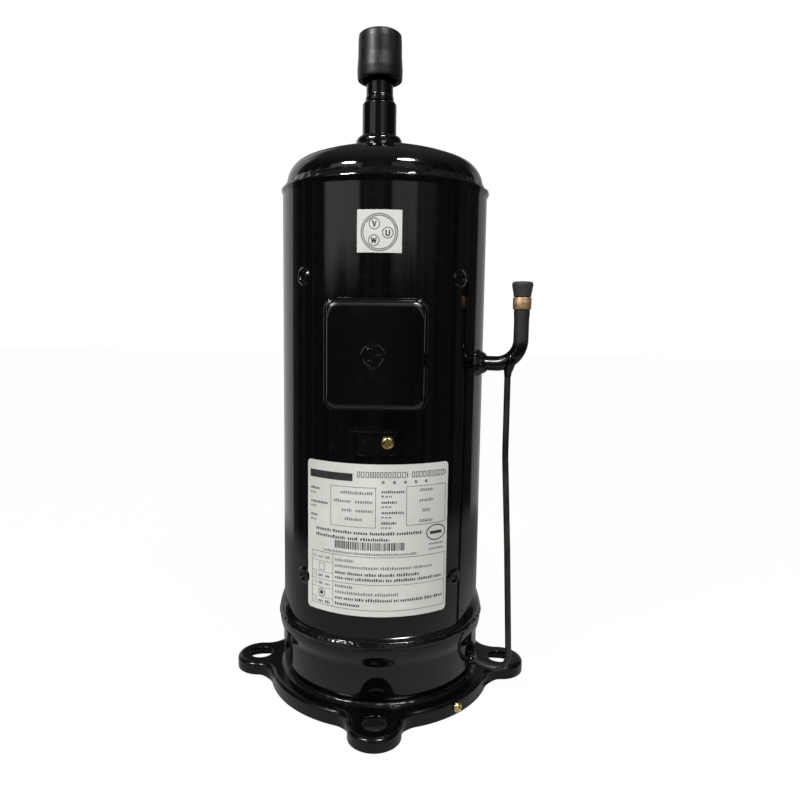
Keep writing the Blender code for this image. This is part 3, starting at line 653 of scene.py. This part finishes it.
def discharge_line():
    leg = outward(DISCHARGE_LEG, 0)
    path = bent([outward(79, DISCHARGE_Z), outward(DISCHARGE_LEG, DISCHARGE_Z),
                 outward(DISCHARGE_LEG, 318.0)], [19.0], 20)
    fine = []
    for a, b in zip(path, path[1:]):
        steps = max(1, int((b - a).length / 2.0))
        fine += [a.lerp(b, i / steps) for i in range(steps)]
    fine.append(path[-1])
    outer = [5.8 + 0.3 * min(max((p.z - 306.0) / 5.0, 0.0), 1.0) ** 2 for p in fine]
    rows = sweep(fine, outer, 48, False) + sweep(fine, 4.85, 48, False)[::-1]
    fixed(piece("discharge_bend", *loops(rows, True), "pipe"), "discharge_pipe")
    collar = [(5.7, 79.0), (5.7, 89.0), (6.7, 88.9), (7.6, 88.0), (8.1, 86.8), (8.7, 85.6), (9.7, 84.4),
              (10.9, 83.2), (11.6, 81.8), (10.5, 80.0)]
    fixed(lathe("discharge_weld", collar, "paint", 64, (0, 0, DISCHARGE_Z), outward(1, 0),
                bead(0.7, 3.6, 6.0)),
          "discharge_collar")
    socket = rounded([(6.15, 315.2), (6.95, 315.2, 0.5), (7.15, 319.5, 20.0), (7.1, 324.2, 0.5),
                      (6.1, 324.2, 0.3)])
    rides(lathe("discharge_socket", socket, "copper", 64, leg), "housing", "copper",
          "discharge_copper_socket")
    plug = rounded([(0.0, 318.4), (4.6, 318.4), (5.8, 324.4), (6.6, 324.7, 0.5), (6.9, 327.0, 1.5),
                    (8.1, 333.9, 1.0), (7.7, 335.6, 0.8), (6.2, 336.3, 1.5), (0.0, 336.5)], False)
    rides(lathe("discharge_stopper", plug, "plug", 64, leg, wobble=bead(0.18, 3.0, 8.0)), "discharge_plug",
          "plug_rubber", "discharge_rubber_plug")
    aside = around(DISCHARGE_AZ - math.pi / 2, 1, 0)
    braze = [outward(r, z) + aside * d for r, z, d in (
        (112.4, 281.8, 2.6), (111.2, 279.4, 3.0), (109.6, 276.2, 2.8), (108.2, 272.6, 2.0),
        (107.2, 269.4, 1.0), (106.6, 266.4, 0.3), (106.5, 263.4, 0.0))]
    blob = piece("oil_tube_braze", *loops(sweep(braze, [1.4, 3.2, 3.9, 4.0, 3.6, 3.0, 2.55], 32)), "seam")
    for v in blob.data.vertices:
        v.co += v.normal * 0.0006 * noise.noise(v.co * 420.0)
    fixed(blob)
    corners = [(106.4, 267.8), (106.6, 200.0), (110.6, 125.0), (115.0, 22.2), (97.0, 22.0), (79.0, 25.6)]
    route = bent([outward(r, z) for r, z in corners], [150, 200, 13.0, 40], 12)
    fixed(piece("oil_return_tube", *loops(sweep(route, 2.5, 32)), "tube"), "oil_tube")
    foot = [(0.0, -3.0), (3.2, -3.0), (3.9, -0.6), (3.5, 0.9), (2.9, 1.8), (2.4, 2.6), (0.0, 2.6)]
    fixed(lathe("oil_tube_weld", foot, "paint", 32, outward(83.0, 24.8), outward(18.0, -3.6),
                bead(0.4, 2.5, 5.0)))


# ---- terminal box
def rectangle(w, h, radius, steps):
    """Outline of a rectangle with round corners, about its middle."""
    outline = []
    for sx, sy, start in ((1, 1, 0), (-1, 1, 90), (-1, -1, 180), (1, -1, 270)):
        for k in range(steps + 1):
            a = math.radians(start + 90.0 * k / steps)
            outline.append((sx * (w / 2 - radius) + radius * math.cos(a),
                            sy * (h / 2 - radius) + radius * math.sin(a)))
    return outline


def rectangle_row(w, h, radius, y, x0=BOX_X, z0=BOX_Z):
    return [Vector((x0 + x, y, z0 + z)) for x, z in rectangle(w, h, radius, 8)]


def boxed(name, specs, mat, **where):
    """Upright rectangles one in front of the other, closed into a solid."""
    return piece(name, *loops([rectangle_row(*spec, **where) for spec in specs], True), mat)


def upright(radius, angle):
    """A step in the plane of the cover, at an angle in degrees from +X."""
    return Vector((radius * math.cos(math.radians(angle)), 0, radius * math.sin(math.radians(angle))))


def terminal_box():
    fence = boxed("terminal_fence", [(68.0, 74.0, 7.0, -60.0), (68.0, 74.0, 7.0, -94.5),
                                     (67.6, 73.6, 6.8, -94.8), (65.0, 71.0, 5.5, -94.8),
                                     (64.6, 70.6, 5.4, -94.5), (64.6, 70.6, 5.4, -60.0)], "paint")
    fixed(even_normals(cut(fence, drill(82.5, 200.0, 360.0, 160))), "terminal_box_frame")
    rides(boxed("cover_seal", [(70.0, 76.0, 7.0, -95.1), (70.0, 76.0, 7.0, -96.1), (65.0, 71.0, 5.4, -96.1),
                               (65.0, 71.0, 5.4, -95.1)], "rubber"), "cover", "rubber", "cover_gasket")
    wide, tall, corner, foot = 69.8, 75.9, 7.7, -97.3
    rim = [(72.6, 79.0, 8.4, -96.4), (72.6, 79.0, 8.4, -96.6), (72.3, 78.7, 8.3, -96.85),
           (71.7, 78.1, 8.0, -96.95), (70.8, 77.0, 7.9, -96.95), (70.2, 76.3, 7.8, -97.05),
           (wide, tall, corner, foot)]
    bevel, curl, end, rise = 1.45, 0.9, 4.4, 3.4
    for k in range(1, 15):
        a = math.pi / 2 * k / 14
        turn = 1 - math.cos(a)
        rim.append((wide - 2 * (bevel * math.sin(a) + curl * turn ** 4), tall - 2 * end * turn,
                    corner + 3.6 * turn, foot - rise * math.sin(a)))
    for share in (0.9, 0.78, 0.62, 0.45, 0.28, 0.12):
        rim.append((65.1 * share, 67.1 * share, 11.3 * share, -100.7 - 0.2 * (1 - share * share)))
    under = [(60.0 * s, 61.0 * s, 4.0 * s, -99.55) for s in (0.12, 0.5, 0.9)]
    under += [(62.0, 64.0, 4.6, -99.5), (65.6, 70.8, 5.2, -98.6), (67.4, 73.4, 6.2, -96.9),
              (67.6, 73.6, 6.4, -96.4)]
    rows = [rectangle_row(*spec) for spec in rim]
    rows += [[Vector((BOX_X, y, BOX_Z))] for y in (-100.92, -99.55)]
    rows += [rectangle_row(*spec) for spec in under]
    parts = [piece("terminal_lid", *loops(rows, True), "lid")]
    emblem = Vector((-3.8, -100.84, 280.3))
    parts.append(lathe("lid_ring", [(6.3, -0.3), (6.5, 0.0), (7.0, 0.10), (7.4, 0.34), (7.8, 0.42),
                                    (8.2, 0.34), (8.6, 0.10), (9.1, 0.0), (9.3, -0.3)], "lid", 72, emblem,
                       FRONT))
    for angle in (0.0, 119.0, 241.0):
        parts.append(lathe("lid_boss", [(0.0, 0.30), (0.9, 0.33), (1.4, 0.24), (1.8, 0.06), (2.0, -0.05),
                                        (2.0, -0.3), (0.0, -0.3)], "lid", 28, emblem + upright(4.6, angle),
                           FRONT))
    rides(even_normals(join("terminal_lid", parts)), "cover", "black_paint", "terminal_cover")
    middle = Vector((BOX_X, 0, BOX_Z))
    disc = rounded([(0.0, 78.6), (19.0, 78.6), (22.2, 80.2), (22.3, 83.2, 0.8), (19.6, 84.4, 1.0),
                    (0.0, 84.4)], False)
    header = lathe("terminal_header", disc, "zinc", 72, middle, FRONT)
    holes = []
    for key, angle in (("u", 0.0), ("v", 120.0), ("w", 240.0)):
        at = middle + upright(PIN_CIRCLE, angle)
        holes.append(drill(3.9, 70.0, 90.0, 32, at, FRONT))
        bead_line = rounded([(1.8, 79.0), (3.7, 79.0), (3.75, 84.6, 0.6), (2.6, 85.7, 0.6), (1.8, 86.2, 0.2)])
        rides(lathe("seal_bead_" + key, bead_line, "glass", 36, at, FRONT), "housing", "seal_glass",
              "terminal_glass_" + key)
        pin = rounded([(0.0, 70.5), (1.6, 70.5), (1.6, 93.0, 0.4), (0.0, 93.4)], False)
        rides(lathe("pin_" + key, pin, "copper", 32, at, FRONT), "housing", "copper", "terminal_pin_" + key)
    rides(even_normals(cut(header, *holes)), "housing", "steel", "terminal_body")


def screw(name, at, axis, radius, seat, top, depth):
    """A pan head with a cross recess; seat, top and depth are distances along the axis."""
    shank = 0.48 * radius
    head = rounded([(0.0, depth), (shank, depth), (shank, seat), (radius, seat, 0.3),
                    (radius * 0.98, seat + (top - seat) * 0.45, 0.5), (radius * 0.72, top - 0.25, 1.2),
                    (0.0, top)], False)
    ob = lathe(name, head, "brass", 48, at, axis)
    place = frame_of(Vector(at), axis)
    tools = []
    for turn in (0.35, 0.35 + math.pi / 2):
        c, s = math.cos(turn), math.sin(turn)
        verts = []
        for z, long, wide in ((top + 0.6, 0.66, 0.17), (top - 1.3, 0.34, 0.10)):
            verts += [place @ Vector(((c * a * long - s * b * wide) * radius,
                                      (s * a * long + c * b * wide) * radius, z))
                      for a, b in ((-1, -1), (1, -1), (1, 1), (-1, 1))]
        faces = [(0, 1, 2, 3), (7, 6, 5, 4), (0, 4, 5, 1), (1, 5, 6, 2), (2, 6, 7, 3), (3, 7, 4, 0)]
        tools.append(piece(name + "_cross", verts, faces, "brass"))
    return even_normals(cut(ob, *tools))


def earth_points():
    bracket = [(34.0, 18.2, 1.2, -85.0), (34.0, 18.2, 1.2, -86.0), (33.4, 17.6, 1.0, -86.35),
               (27.6, 17.2, 1.0, -86.4), (27.0, 16.8, 1.0, -86.6), (26.2, 16.4, 0.9, -86.9),
               (2.0, 2.0, 0.3, -86.95), (2.0, 2.0, 0.3, -85.0)]
    fixed(even_normals(boxed("lower_bracket", bracket, "paint", x0=-3.2, z0=233.7)), "box_lower_bracket")
    tab = [(28.5, 32.4, 3.4, -83.4), (28.5, 32.4, 3.4, -84.35), (28.0, 31.9, 3.2, -84.65),
           (27.2, 31.1, 3.0, -84.7), (4.0, 4.0, 0.5, -84.7), (4.0, 4.0, 0.5, -83.4)]
    plate = boxed("earth_tab", tab, "paint", x0=-1.95, z0=223.4)
    tools = [drill(2.6, 80.0, 90.0, 24, (EARTH_X, 0, EARTH_Z), FRONT),
             lathe("tab_dimple", [(0.0, 84.2), (0.9, 84.3), (1.5, 84.75), (1.5, 90.0), (0.0, 90.0)], "paint",
                   24, (-10.6, 0, 217.4), FRONT)]
    fixed(even_normals(cut(plate, *tools)), "earth_plate")
    rides(screw("earth_screw_head", (EARTH_X, 0, EARTH_Z), FRONT, 4.8, 84.9, 88.3, 83.2), "housing", "brass",
          "earth_screw")
    rides(screw("base_screw_head", (0, 0, BASE_SCREW_Z), around(BASE_SCREW_AZ, 1, 0), 4.0, 94.8, 97.8, 88.0),
          "housing", "brass", "base_earth_screw")


# ---- stickers
def on_shell(u, v, r, azimuth, z):
    """A sticker point: u along the shell and v up from its lower left corner."""
    return around(azimuth + u / SHELL_R, r, z + v)


def film(name, width, height, radius, azimuth, z, node):
    """Curved film with rounded corners."""
    edge = {round(width / 2 + x, 3) for x, y in rectangle(width, height, radius, 6)}
    columns = sorted(edge | {round(width * i / 40, 3) for i in range(1, 40)})
    spans = []
    for u in columns:
        d = max(radius - u, u - (width - radius), 0.0)
        rise = radius - math.sqrt(max(radius ** 2 - d ** 2, 0.0))
        spans.append((u, rise, height - rise))
    levels = [(i / 10, FILM_R) for i in range(11)] + [(1.0, FILM_BACK), (0.0, FILM_BACK)]
    grid = [[on_shell(u, a + (b - a) * share, r, azimuth, z) for u, a, b in spans] for share, r in levels]
    n = len(spans)
    verts = [p for row in grid for p in row]
    faces = []
    for i in range(len(grid)):
        j = (i + 1) % len(grid)
        faces += [(i * n + k, i * n + k + 1, j * n + k + 1, j * n + k) for k in range(n - 1)]
    for side in (0, n - 1):
        faces.append([i * n + side for i in range(len(grid))])
    rides(piece(name, verts, faces, "paper", 60.0), "housing", "label", node)


class Print:
    """Marks printed on a sticker, as thin raised patches that follow the shell."""

    def __init__(self, azimuth, z):
        self.azimuth, self.z = azimuth, z
        self.verts, self.faces, self.inks = [], [], []

    def strip(self, line_a, line_b, ink):
        """A ribbon between two runs of (u, v) points."""
        first = len(self.verts)
        n = len(line_a)
        for r in (INK_R, INK_BACK):
            for line in (line_a, line_b):
                self.verts += [on_shell(u, v, r, self.azimuth, self.z) for u, v in line]
        for i in range(n - 1):
            top = (first + i, first + i + 1, first + n + i + 1, first + n + i)
            low = tuple(v + 2 * n for v in top)
            self.faces += [top, low[::-1], (top[0], low[0], low[1], top[1]), (top[2], low[2], low[3], top[3])]
            self.inks += [ink] * 4
        for i in (0, n - 1):
            self.faces.append((first + i, first + n + i, first + 3 * n + i, first + 2 * n + i))
            self.inks.append(ink)

    def bar(self, u0, v0, u1, v1, ink=0):
        steps = max(1, int((u1 - u0) / 3.0))
        us = [u0 + (u1 - u0) * i / steps for i in range(steps + 1)]
        self.strip([(u, v0) for u in us], [(u, v1) for u in us], ink)

    def box(self, u0, v0, u1, v1, line=0.4, ink=0):
        self.bar(u0, v0, u1, v0 + line, ink)
        self.bar(u0, v1 - line, u1, v1, ink)
        self.bar(u0, v0 + line, u0 + line, v1 - line, ink)
        self.bar(u1 - line, v0 + line, u1, v1 - line, ink)

    def oval(self, u, v, a, b, line, ink=0, steps=40):
        angles = [TAU * i / steps for i in range(steps + 1)]
        outer = [(u + a * math.cos(t), v + b * math.sin(t)) for t in angles]
        inner = [(u + (a - line) * math.cos(t), v + (b - line) * math.sin(t)) for t in angles]
        self.strip(outer, inner, ink)

    def stroke(self, points, line, ink=0):
        """A polyline of even width."""
        for (u0, v0), (u1, v1) in zip(points, points[1:]):
            length = math.hypot(u1 - u0, v1 - v0)
            du, dv = (v1 - v0) / length * line / 2, -(u1 - u0) / length * line / 2
            self.strip([(u0 + du, v0 + dv), (u1 + du, v1 + dv)], [(u0 - du, v0 - dv), (u1 - du, v1 - dv)],
                       ink)

    def words(self, u, v, lengths, height, gap, ink=1, hollow=False):
        """Filler text: plain or hollow blocks with no letters in them."""
        for length in lengths:
            end = u + length
            while u < end - 0.3:
                step = min(0.55 * height + 0.35 * height * random.random(), end - u)
                rise = height * (1.0 if random.random() < 0.3 else 0.78)
                if hollow:
                    self.box(u, v, u + step * 0.72, v + height, 0.48, ink)
                else:
                    self.bar(u, v, u + step * 0.60, v + rise, ink)
                u += step
            u = end + gap

    def done(self, name):
        ob = piece(name, self.verts, self.faces, "ink", 60.0)
        ob.data.materials.append(M["soft_ink"])
        for face, ink in zip(ob.data.polygons, self.inks):
            face.material_index = ink
        rides(ob, "housing", "label")


def rating_label():
    azimuth = math.radians(-131.0)
    wide, tall = 115.5, 116.6
    base = 83.7
    film("rating_plate", wide, tall, 3.0, azimuth, base, "name_plate")
    p = Print(azimuth, base)
    p.bar(2.8, 103.4, 40.0, 109.2)
    p.words(43.5, 106.6, (37.6, 28.4), 4.4, 3.2, 0, True)
    for i in range(5):
        p.bar(61.8 + 8.2 * i, 102.2, 63.8 + 8.2 * i, 104.4, 1)
    for row, length in enumerate((9.0, 16.5, 7.0)):
        v = 94.2 - 10.4 * row
        p.words(3.6, v, (length,), 2.0, 1.0, 0)
        p.words(3.6, v - 3.4, (2.0, 2.0), 1.7, 1.2, 0)
    p.box(22.2, 68.6, 57.6, 99.2, 0.45, 1)
    for row, lengths in enumerate(((25.0,), (14.0, 13.5), (8.0, 13.0), (14.0,))):
        total = sum(lengths) + 3.0 * (len(lengths) - 1)
        p.words(55.6 - total if row < 3 else 34.0, 93.6 - 6.7 * row, lengths, 2.4, 3.0, 1)
    for row, length in enumerate((17.5, 11.5, 17.0, 11.5)):
        v = 95.2 - 7.9 * row
        p.words(61.8, v, (length,), 2.0, 1.0, 0)
        p.words(61.8, v - 3.2, (1.9, 1.9, 1.9), 1.7, 0.9, 0)
        p.words(90.6 + (2.4 if row == 2 else 0.0), v + 0.6, (6.5 if row == 2 else 11.5,), 2.4, 1.0, 1)
    p.box(80.2, 70.2, 113.2, 100.2, 0.45, 1)
    p.words(9.0, 63.2, (14.0, 16.0, 11.0, 19.0, 20.0), 2.4, 1.1, 0)
    p.words(9.0, 58.6, (26.0, 8.0, 22.0), 2.4, 1.6, 0)
    p.oval(105.0, 63.0, 8.6, 6.2, 0.8)
    p.bar(99.8, 61.9, 110.2, 64.1)
    p.words(98.8, 53.6, (13.6,), 1.7, 1.0)
    p.words(98.8, 49.6, (13.6,), 1.7, 1.0)
    u = 26.0
    while u < 79.0:
        width = random.choice((0.35, 0.35, 0.6, 0.9))
        p.bar(u, 51.4, u + width, 57.4)
        u += width + random.choice((0.35, 0.5, 0.8))
    p.words(16.0, 47.6, (73.0,), 1.9, 1.0)
    p.box(4.4, 4.6, 113.6, 46.4, 0.45, 1)
    p.bar(24.2, 5.0, 24.6, 46.0, 1)
    p.bar(24.6, 24.6, 113.2, 25.0, 1)
    for v in (38.6, 30.4, 24.4, 18.0, 10.2):
        p.bar(4.8, v, 24.2, v + 0.35, 1)
    for v in (41.2, 26.6, 20.4, 6.2):
        p.box(6.6, v, 9.2, v + 2.4, 0.3, 1)
        p.words(11.2, v, (4.4, 4.4), 2.2, 2.0, 0 if v in (26.6, 6.2) else 1)
    p.box(11.6, 31.8, 17.2, 37.4, 0.4, 1)
    p.oval(14.2, 14.1, 3.2, 3.2, 0.5)
    p.oval(14.2, 14.1, 1.5, 1.5, 1.4)
    for v, lengths, ink in ((41.2, (15.0,), 1), (36.6, (34.0, 24.0, 16.0), 1),
                            (31.4, (9.0, 12.0, 9.0, 13.0, 18.0), 0),
                            (27.4, (7.0, 7.0, 22.0, 5.0, 17.0, 13.0, 7.0), 0), (20.9, (15.0,), 1),
                            (16.2, (30.0, 18.0), 1), (11.6, (6.0, 8.0, 7.0, 20.0, 4.0, 18.0, 7.0, 8.0), 0),
                            (7.0, (20.0,), 0)):
        p.words(26.4, v, lengths, 2.3, 1.1, ink)
    p.done("rating_print")


def terminal_sticker():
    azimuth, base = math.radians(-101.8), 352.8
    film("terminal_sticker", 32.0, 29.8, 0.5, azimuth, base, "terminal_diagram")
    p = Print(azimuth, base)
    cu, cv = 15.9, 14.2
    p.oval(cu, cv, 13.3, 13.3, 0.85, 1, 64)
    p.oval(cu, cv, 12.0, 12.0, 0.75, 1, 64)
    v_mark = ((-1.3, 2.0), (0.0, -2.0), (1.3, 2.0))
    u_mark = ((-1.2, 2.0), (-1.2, -1.0), (-0.6, -1.9), (0.6, -1.9), (1.2, -1.0), (1.2, 2.0))
    w_mark = ((-1.7, 2.0), (-0.9, -2.0), (0.0, 1.4), (0.9, -2.0), (1.7, 2.0))
    for du, dv, mark in ((-3.5, 5.9, v_mark), (6.0, -0.3, u_mark), (-3.8, -5.6, w_mark)):
        p.oval(cu + du, cv + dv, 4.1, 4.1, 0.7, 1)
        p.stroke([(cu + du + a, cv + dv + b) for a, b in mark], 0.9)
    p.done("terminal_print")


random.seed(7)
shell()
plug_welds()
top_cap()
bottom_cap()
base_plate()
suction_stack()
discharge_line()
terminal_box()
earth_points()
rating_label()
terminal_sticker()


# ---- floor, light and camera
def stage_floor():
    """A pale sheet under the part: in reflections it carries a painted pool of light near the part that fades
    darker beyond it; to the eye it is plain white with a painted shadow disc seen through the front foot
    hole.
    """
    mat, n, pin = new_material("pale_floor")
    tree = mat.node_tree
    where = n.add("TexCoord")
    offset = n.add("VectorMath")
    offset.operation = "DISTANCE"
    offset.inputs[1].default_value = (0.05, 0.06, 0.0)
    n.put(offset.inputs[0], where.outputs["Object"])
    # painted pool of light: in reflections the floor is lighter near the part and darker further out
    painted_light_pool = n.mix(n.ramp(offset.outputs["Value"], 0.14, 0.34), (0.44, 0.44, 0.42), (0.27, 0.275, 0.255))
    seen = n.add("LightPath").outputs["Is Camera Ray"]
    n.put(pin["Base Color"], n.mix(seen, painted_light_pool, (0.90, 0.90, 0.90)))
    n.put(pin["Roughness"], 0.9)
    n.put(pin["Specular IOR Level"], 0.0)
    # painted shadow: to the eye the floor is plain white except for a dark disc where the front foot hole
    # looks through to it
    eye_white_with_painted_shadow = n.add("Emission")
    under = n.add("VectorMath")
    under.operation = "DISTANCE"
    under.inputs[1].default_value = (0.0, -0.088, 0.0)
    n.put(under.inputs[0], where.outputs["Object"])
    n.put(eye_white_with_painted_shadow.inputs["Color"], n.mix(n.ramp(under.outputs["Value"], 0.019, 0.023), (0.008, 0.008, 0.009),
                                      (1.0, 1.0, 1.0)))
    blend = n.add("MixShader")
    n.put(blend.inputs[0], n.math("MULTIPLY", seen, 0.975))
    n.put(blend.inputs[1], tree.nodes["Principled BSDF"].outputs[0])
    n.put(blend.inputs[2], eye_white_with_painted_shadow.outputs[0])
    beyond = n.add("BsdfTransparent")
    edge = n.add("MixShader")
    n.put(edge.inputs[0], n.math("MULTIPLY", n.math("SUBTRACT", 1.0, seen),
                                 n.ramp(offset.outputs["Value"], 0.42, 0.58)))
    n.put(edge.inputs[1], blend.outputs[0])
    n.put(edge.inputs[2], beyond.outputs[0])
    n.put(tree.nodes["Material Output"].inputs["Surface"], edge.outputs[0])
    mesh = bpy.data.meshes.new("floor")
    half = 6.0
    mesh.from_pydata([(-half, -half, 0), (half, -half, 0), (half, half, 0), (-half, half, 0)], [],
                     [(0, 1, 2, 3)])
    mesh.materials.append(mat)
    floor = bpy.data.objects.new("floor", mesh)
    SCENE.collection.objects.link(floor)


ROOM = (
    # azimuth from, to, edge softness, elevation from, to, softness, strength, colour
    (-156.0, -115.5, 2.5, 4.0, 33.0, 2.5, 0.84, (1.0, 1.0, 0.93)),
    (-80.5, -54.0, 2.5, 4.0, 38.0, 2.5, 0.56, (1.0, 1.02, 0.94)),
    (-56.0, -34.0, 9.0, 3.0, 30.0, 4.0, 0.15, (1.0, 0.95, 0.88)),
    (-113.0, -84.0, 3.0, 5.0, 40.0, 4.0, 0.07, (0.95, 1.0, 0.98)),
    (108.0, 149.0, 1.5, -30.0, 42.0, 8.0, 0.64, (1.0, 1.0, 0.98)),
    (38.5, 84.0, 1.5, -30.0, 26.0, 8.0, 0.36, (1.0, 1.0, 0.98)),
)


def room():
    """Dim studio with soft bright panels in front and pale backdrops behind; plain white to the eye."""
    world = bpy.data.worlds.new("studio")
    SCENE.world = world
    world.use_nodes = True
    tree = world.node_tree
    n = Nodes(tree)
    x, y, z = n.add("SeparateXYZ", Vector=n.add("TexCoord").outputs["Generated"]).outputs
    azimuth = n.math("MULTIPLY", n.math("ARCTAN2", y, x), 180 / math.pi)
    elevation = n.math("MULTIPLY", n.math("ARCSINE", z), 180 / math.pi)
    streak = n.add("TexNoise")
    streak.noise_dimensions = "1D"
    for name, value in (("W", azimuth), ("Scale", 0.10), ("Detail", 3.0)):
        n.put(streak.inputs[name], value)
    dim = n.mix(n.ramp(streak.outputs["Fac"], 0.36, 0.66), (0.026, 0.026, 0.034), (0.082, 0.078, 0.070))
    total = n.mix(n.ramp(elevation, 30.0, 75.0), dim, (0.20, 0.20, 0.20))
    for a0, a1, soft, e0, e1, esoft, strength, colour in ROOM:
        inside = n.math("MULTIPLY", n.ramp(azimuth, a0 - soft, a0 + soft),
                        n.ramp(azimuth, a1 + soft, a1 - soft))
        level = n.math("MULTIPLY", n.ramp(elevation, e0 - esoft, e0 + esoft),
                       n.ramp(elevation, e1 + esoft, e1 - esoft))
        node = n.add("Mix")
        node.data_type = "RGBA"
        node.blend_type = "ADD"
        n.put(node.inputs[0], n.math("MULTIPLY", inside, level))
        n.put(node.inputs[6], total)
        n.put(node.inputs[7], tuple(c * strength for c in colour))
        total = node.outputs[2]
    seen = n.add("LightPath").outputs["Is Camera Ray"]
    background = tree.nodes["Background"].inputs
    n.put(background["Color"], n.mix(seen, total, (1.0, 1.0, 1.0)))
    n.put(background["Strength"], 1.0)


def lamp(name, azimuth, elevation, distance, wide, tall, power):
    light = bpy.data.lights.new(name, "AREA")
    light.shape = "ELLIPSE"
    light.size, light.size_y = wide, tall
    light.energy = power
    ob = bpy.data.objects.new(name, light)
    a, e = math.radians(azimuth), math.radians(elevation)
    ob.location = Vector((math.cos(a) * math.cos(e), math.sin(a) * math.cos(e), math.sin(e))) * distance
    ob.location.z += 0.30
    ob.rotation_euler = (Vector((0, 0, 0.30)) - ob.location).to_track_quat("-Z", "Y").to_euler()
    SCENE.collection.objects.link(ob)


def camera():
    """Eye-level camera a little above the part's middle, pitched slightly down."""
    data = bpy.data.cameras.new("camera")
    data.sensor_width = 36.0
    data.lens = 30.64
    data.clip_end = 50.0
    ob = bpy.data.objects.new("camera", data)
    pitch, yaw, roll, turn = 6.509, 1.440, 0.821, 1.98
    look = (Matrix.Rotation(math.radians(turn - yaw), 3, "Z")
            @ Matrix.Rotation(math.radians(90 - pitch), 3, "X")
            @ Matrix.Rotation(math.radians(roll), 3, "Z"))
    ob.matrix_world = Matrix.Translation((0.01979, -0.57240, 0.30406)) @ look.to_4x4()
    SCENE.collection.objects.link(ob)
    SCENE.camera = ob


stage_floor()
room()
lamp("key_left", -133.0, 36.0, 2.2, 0.55, 0.26, 36.0)
lamp("key_right", -60.0, 50.0, 2.2, 0.62, 0.24, 36.0)
camera()
SCENE.view_settings.view_transform = "Standard"
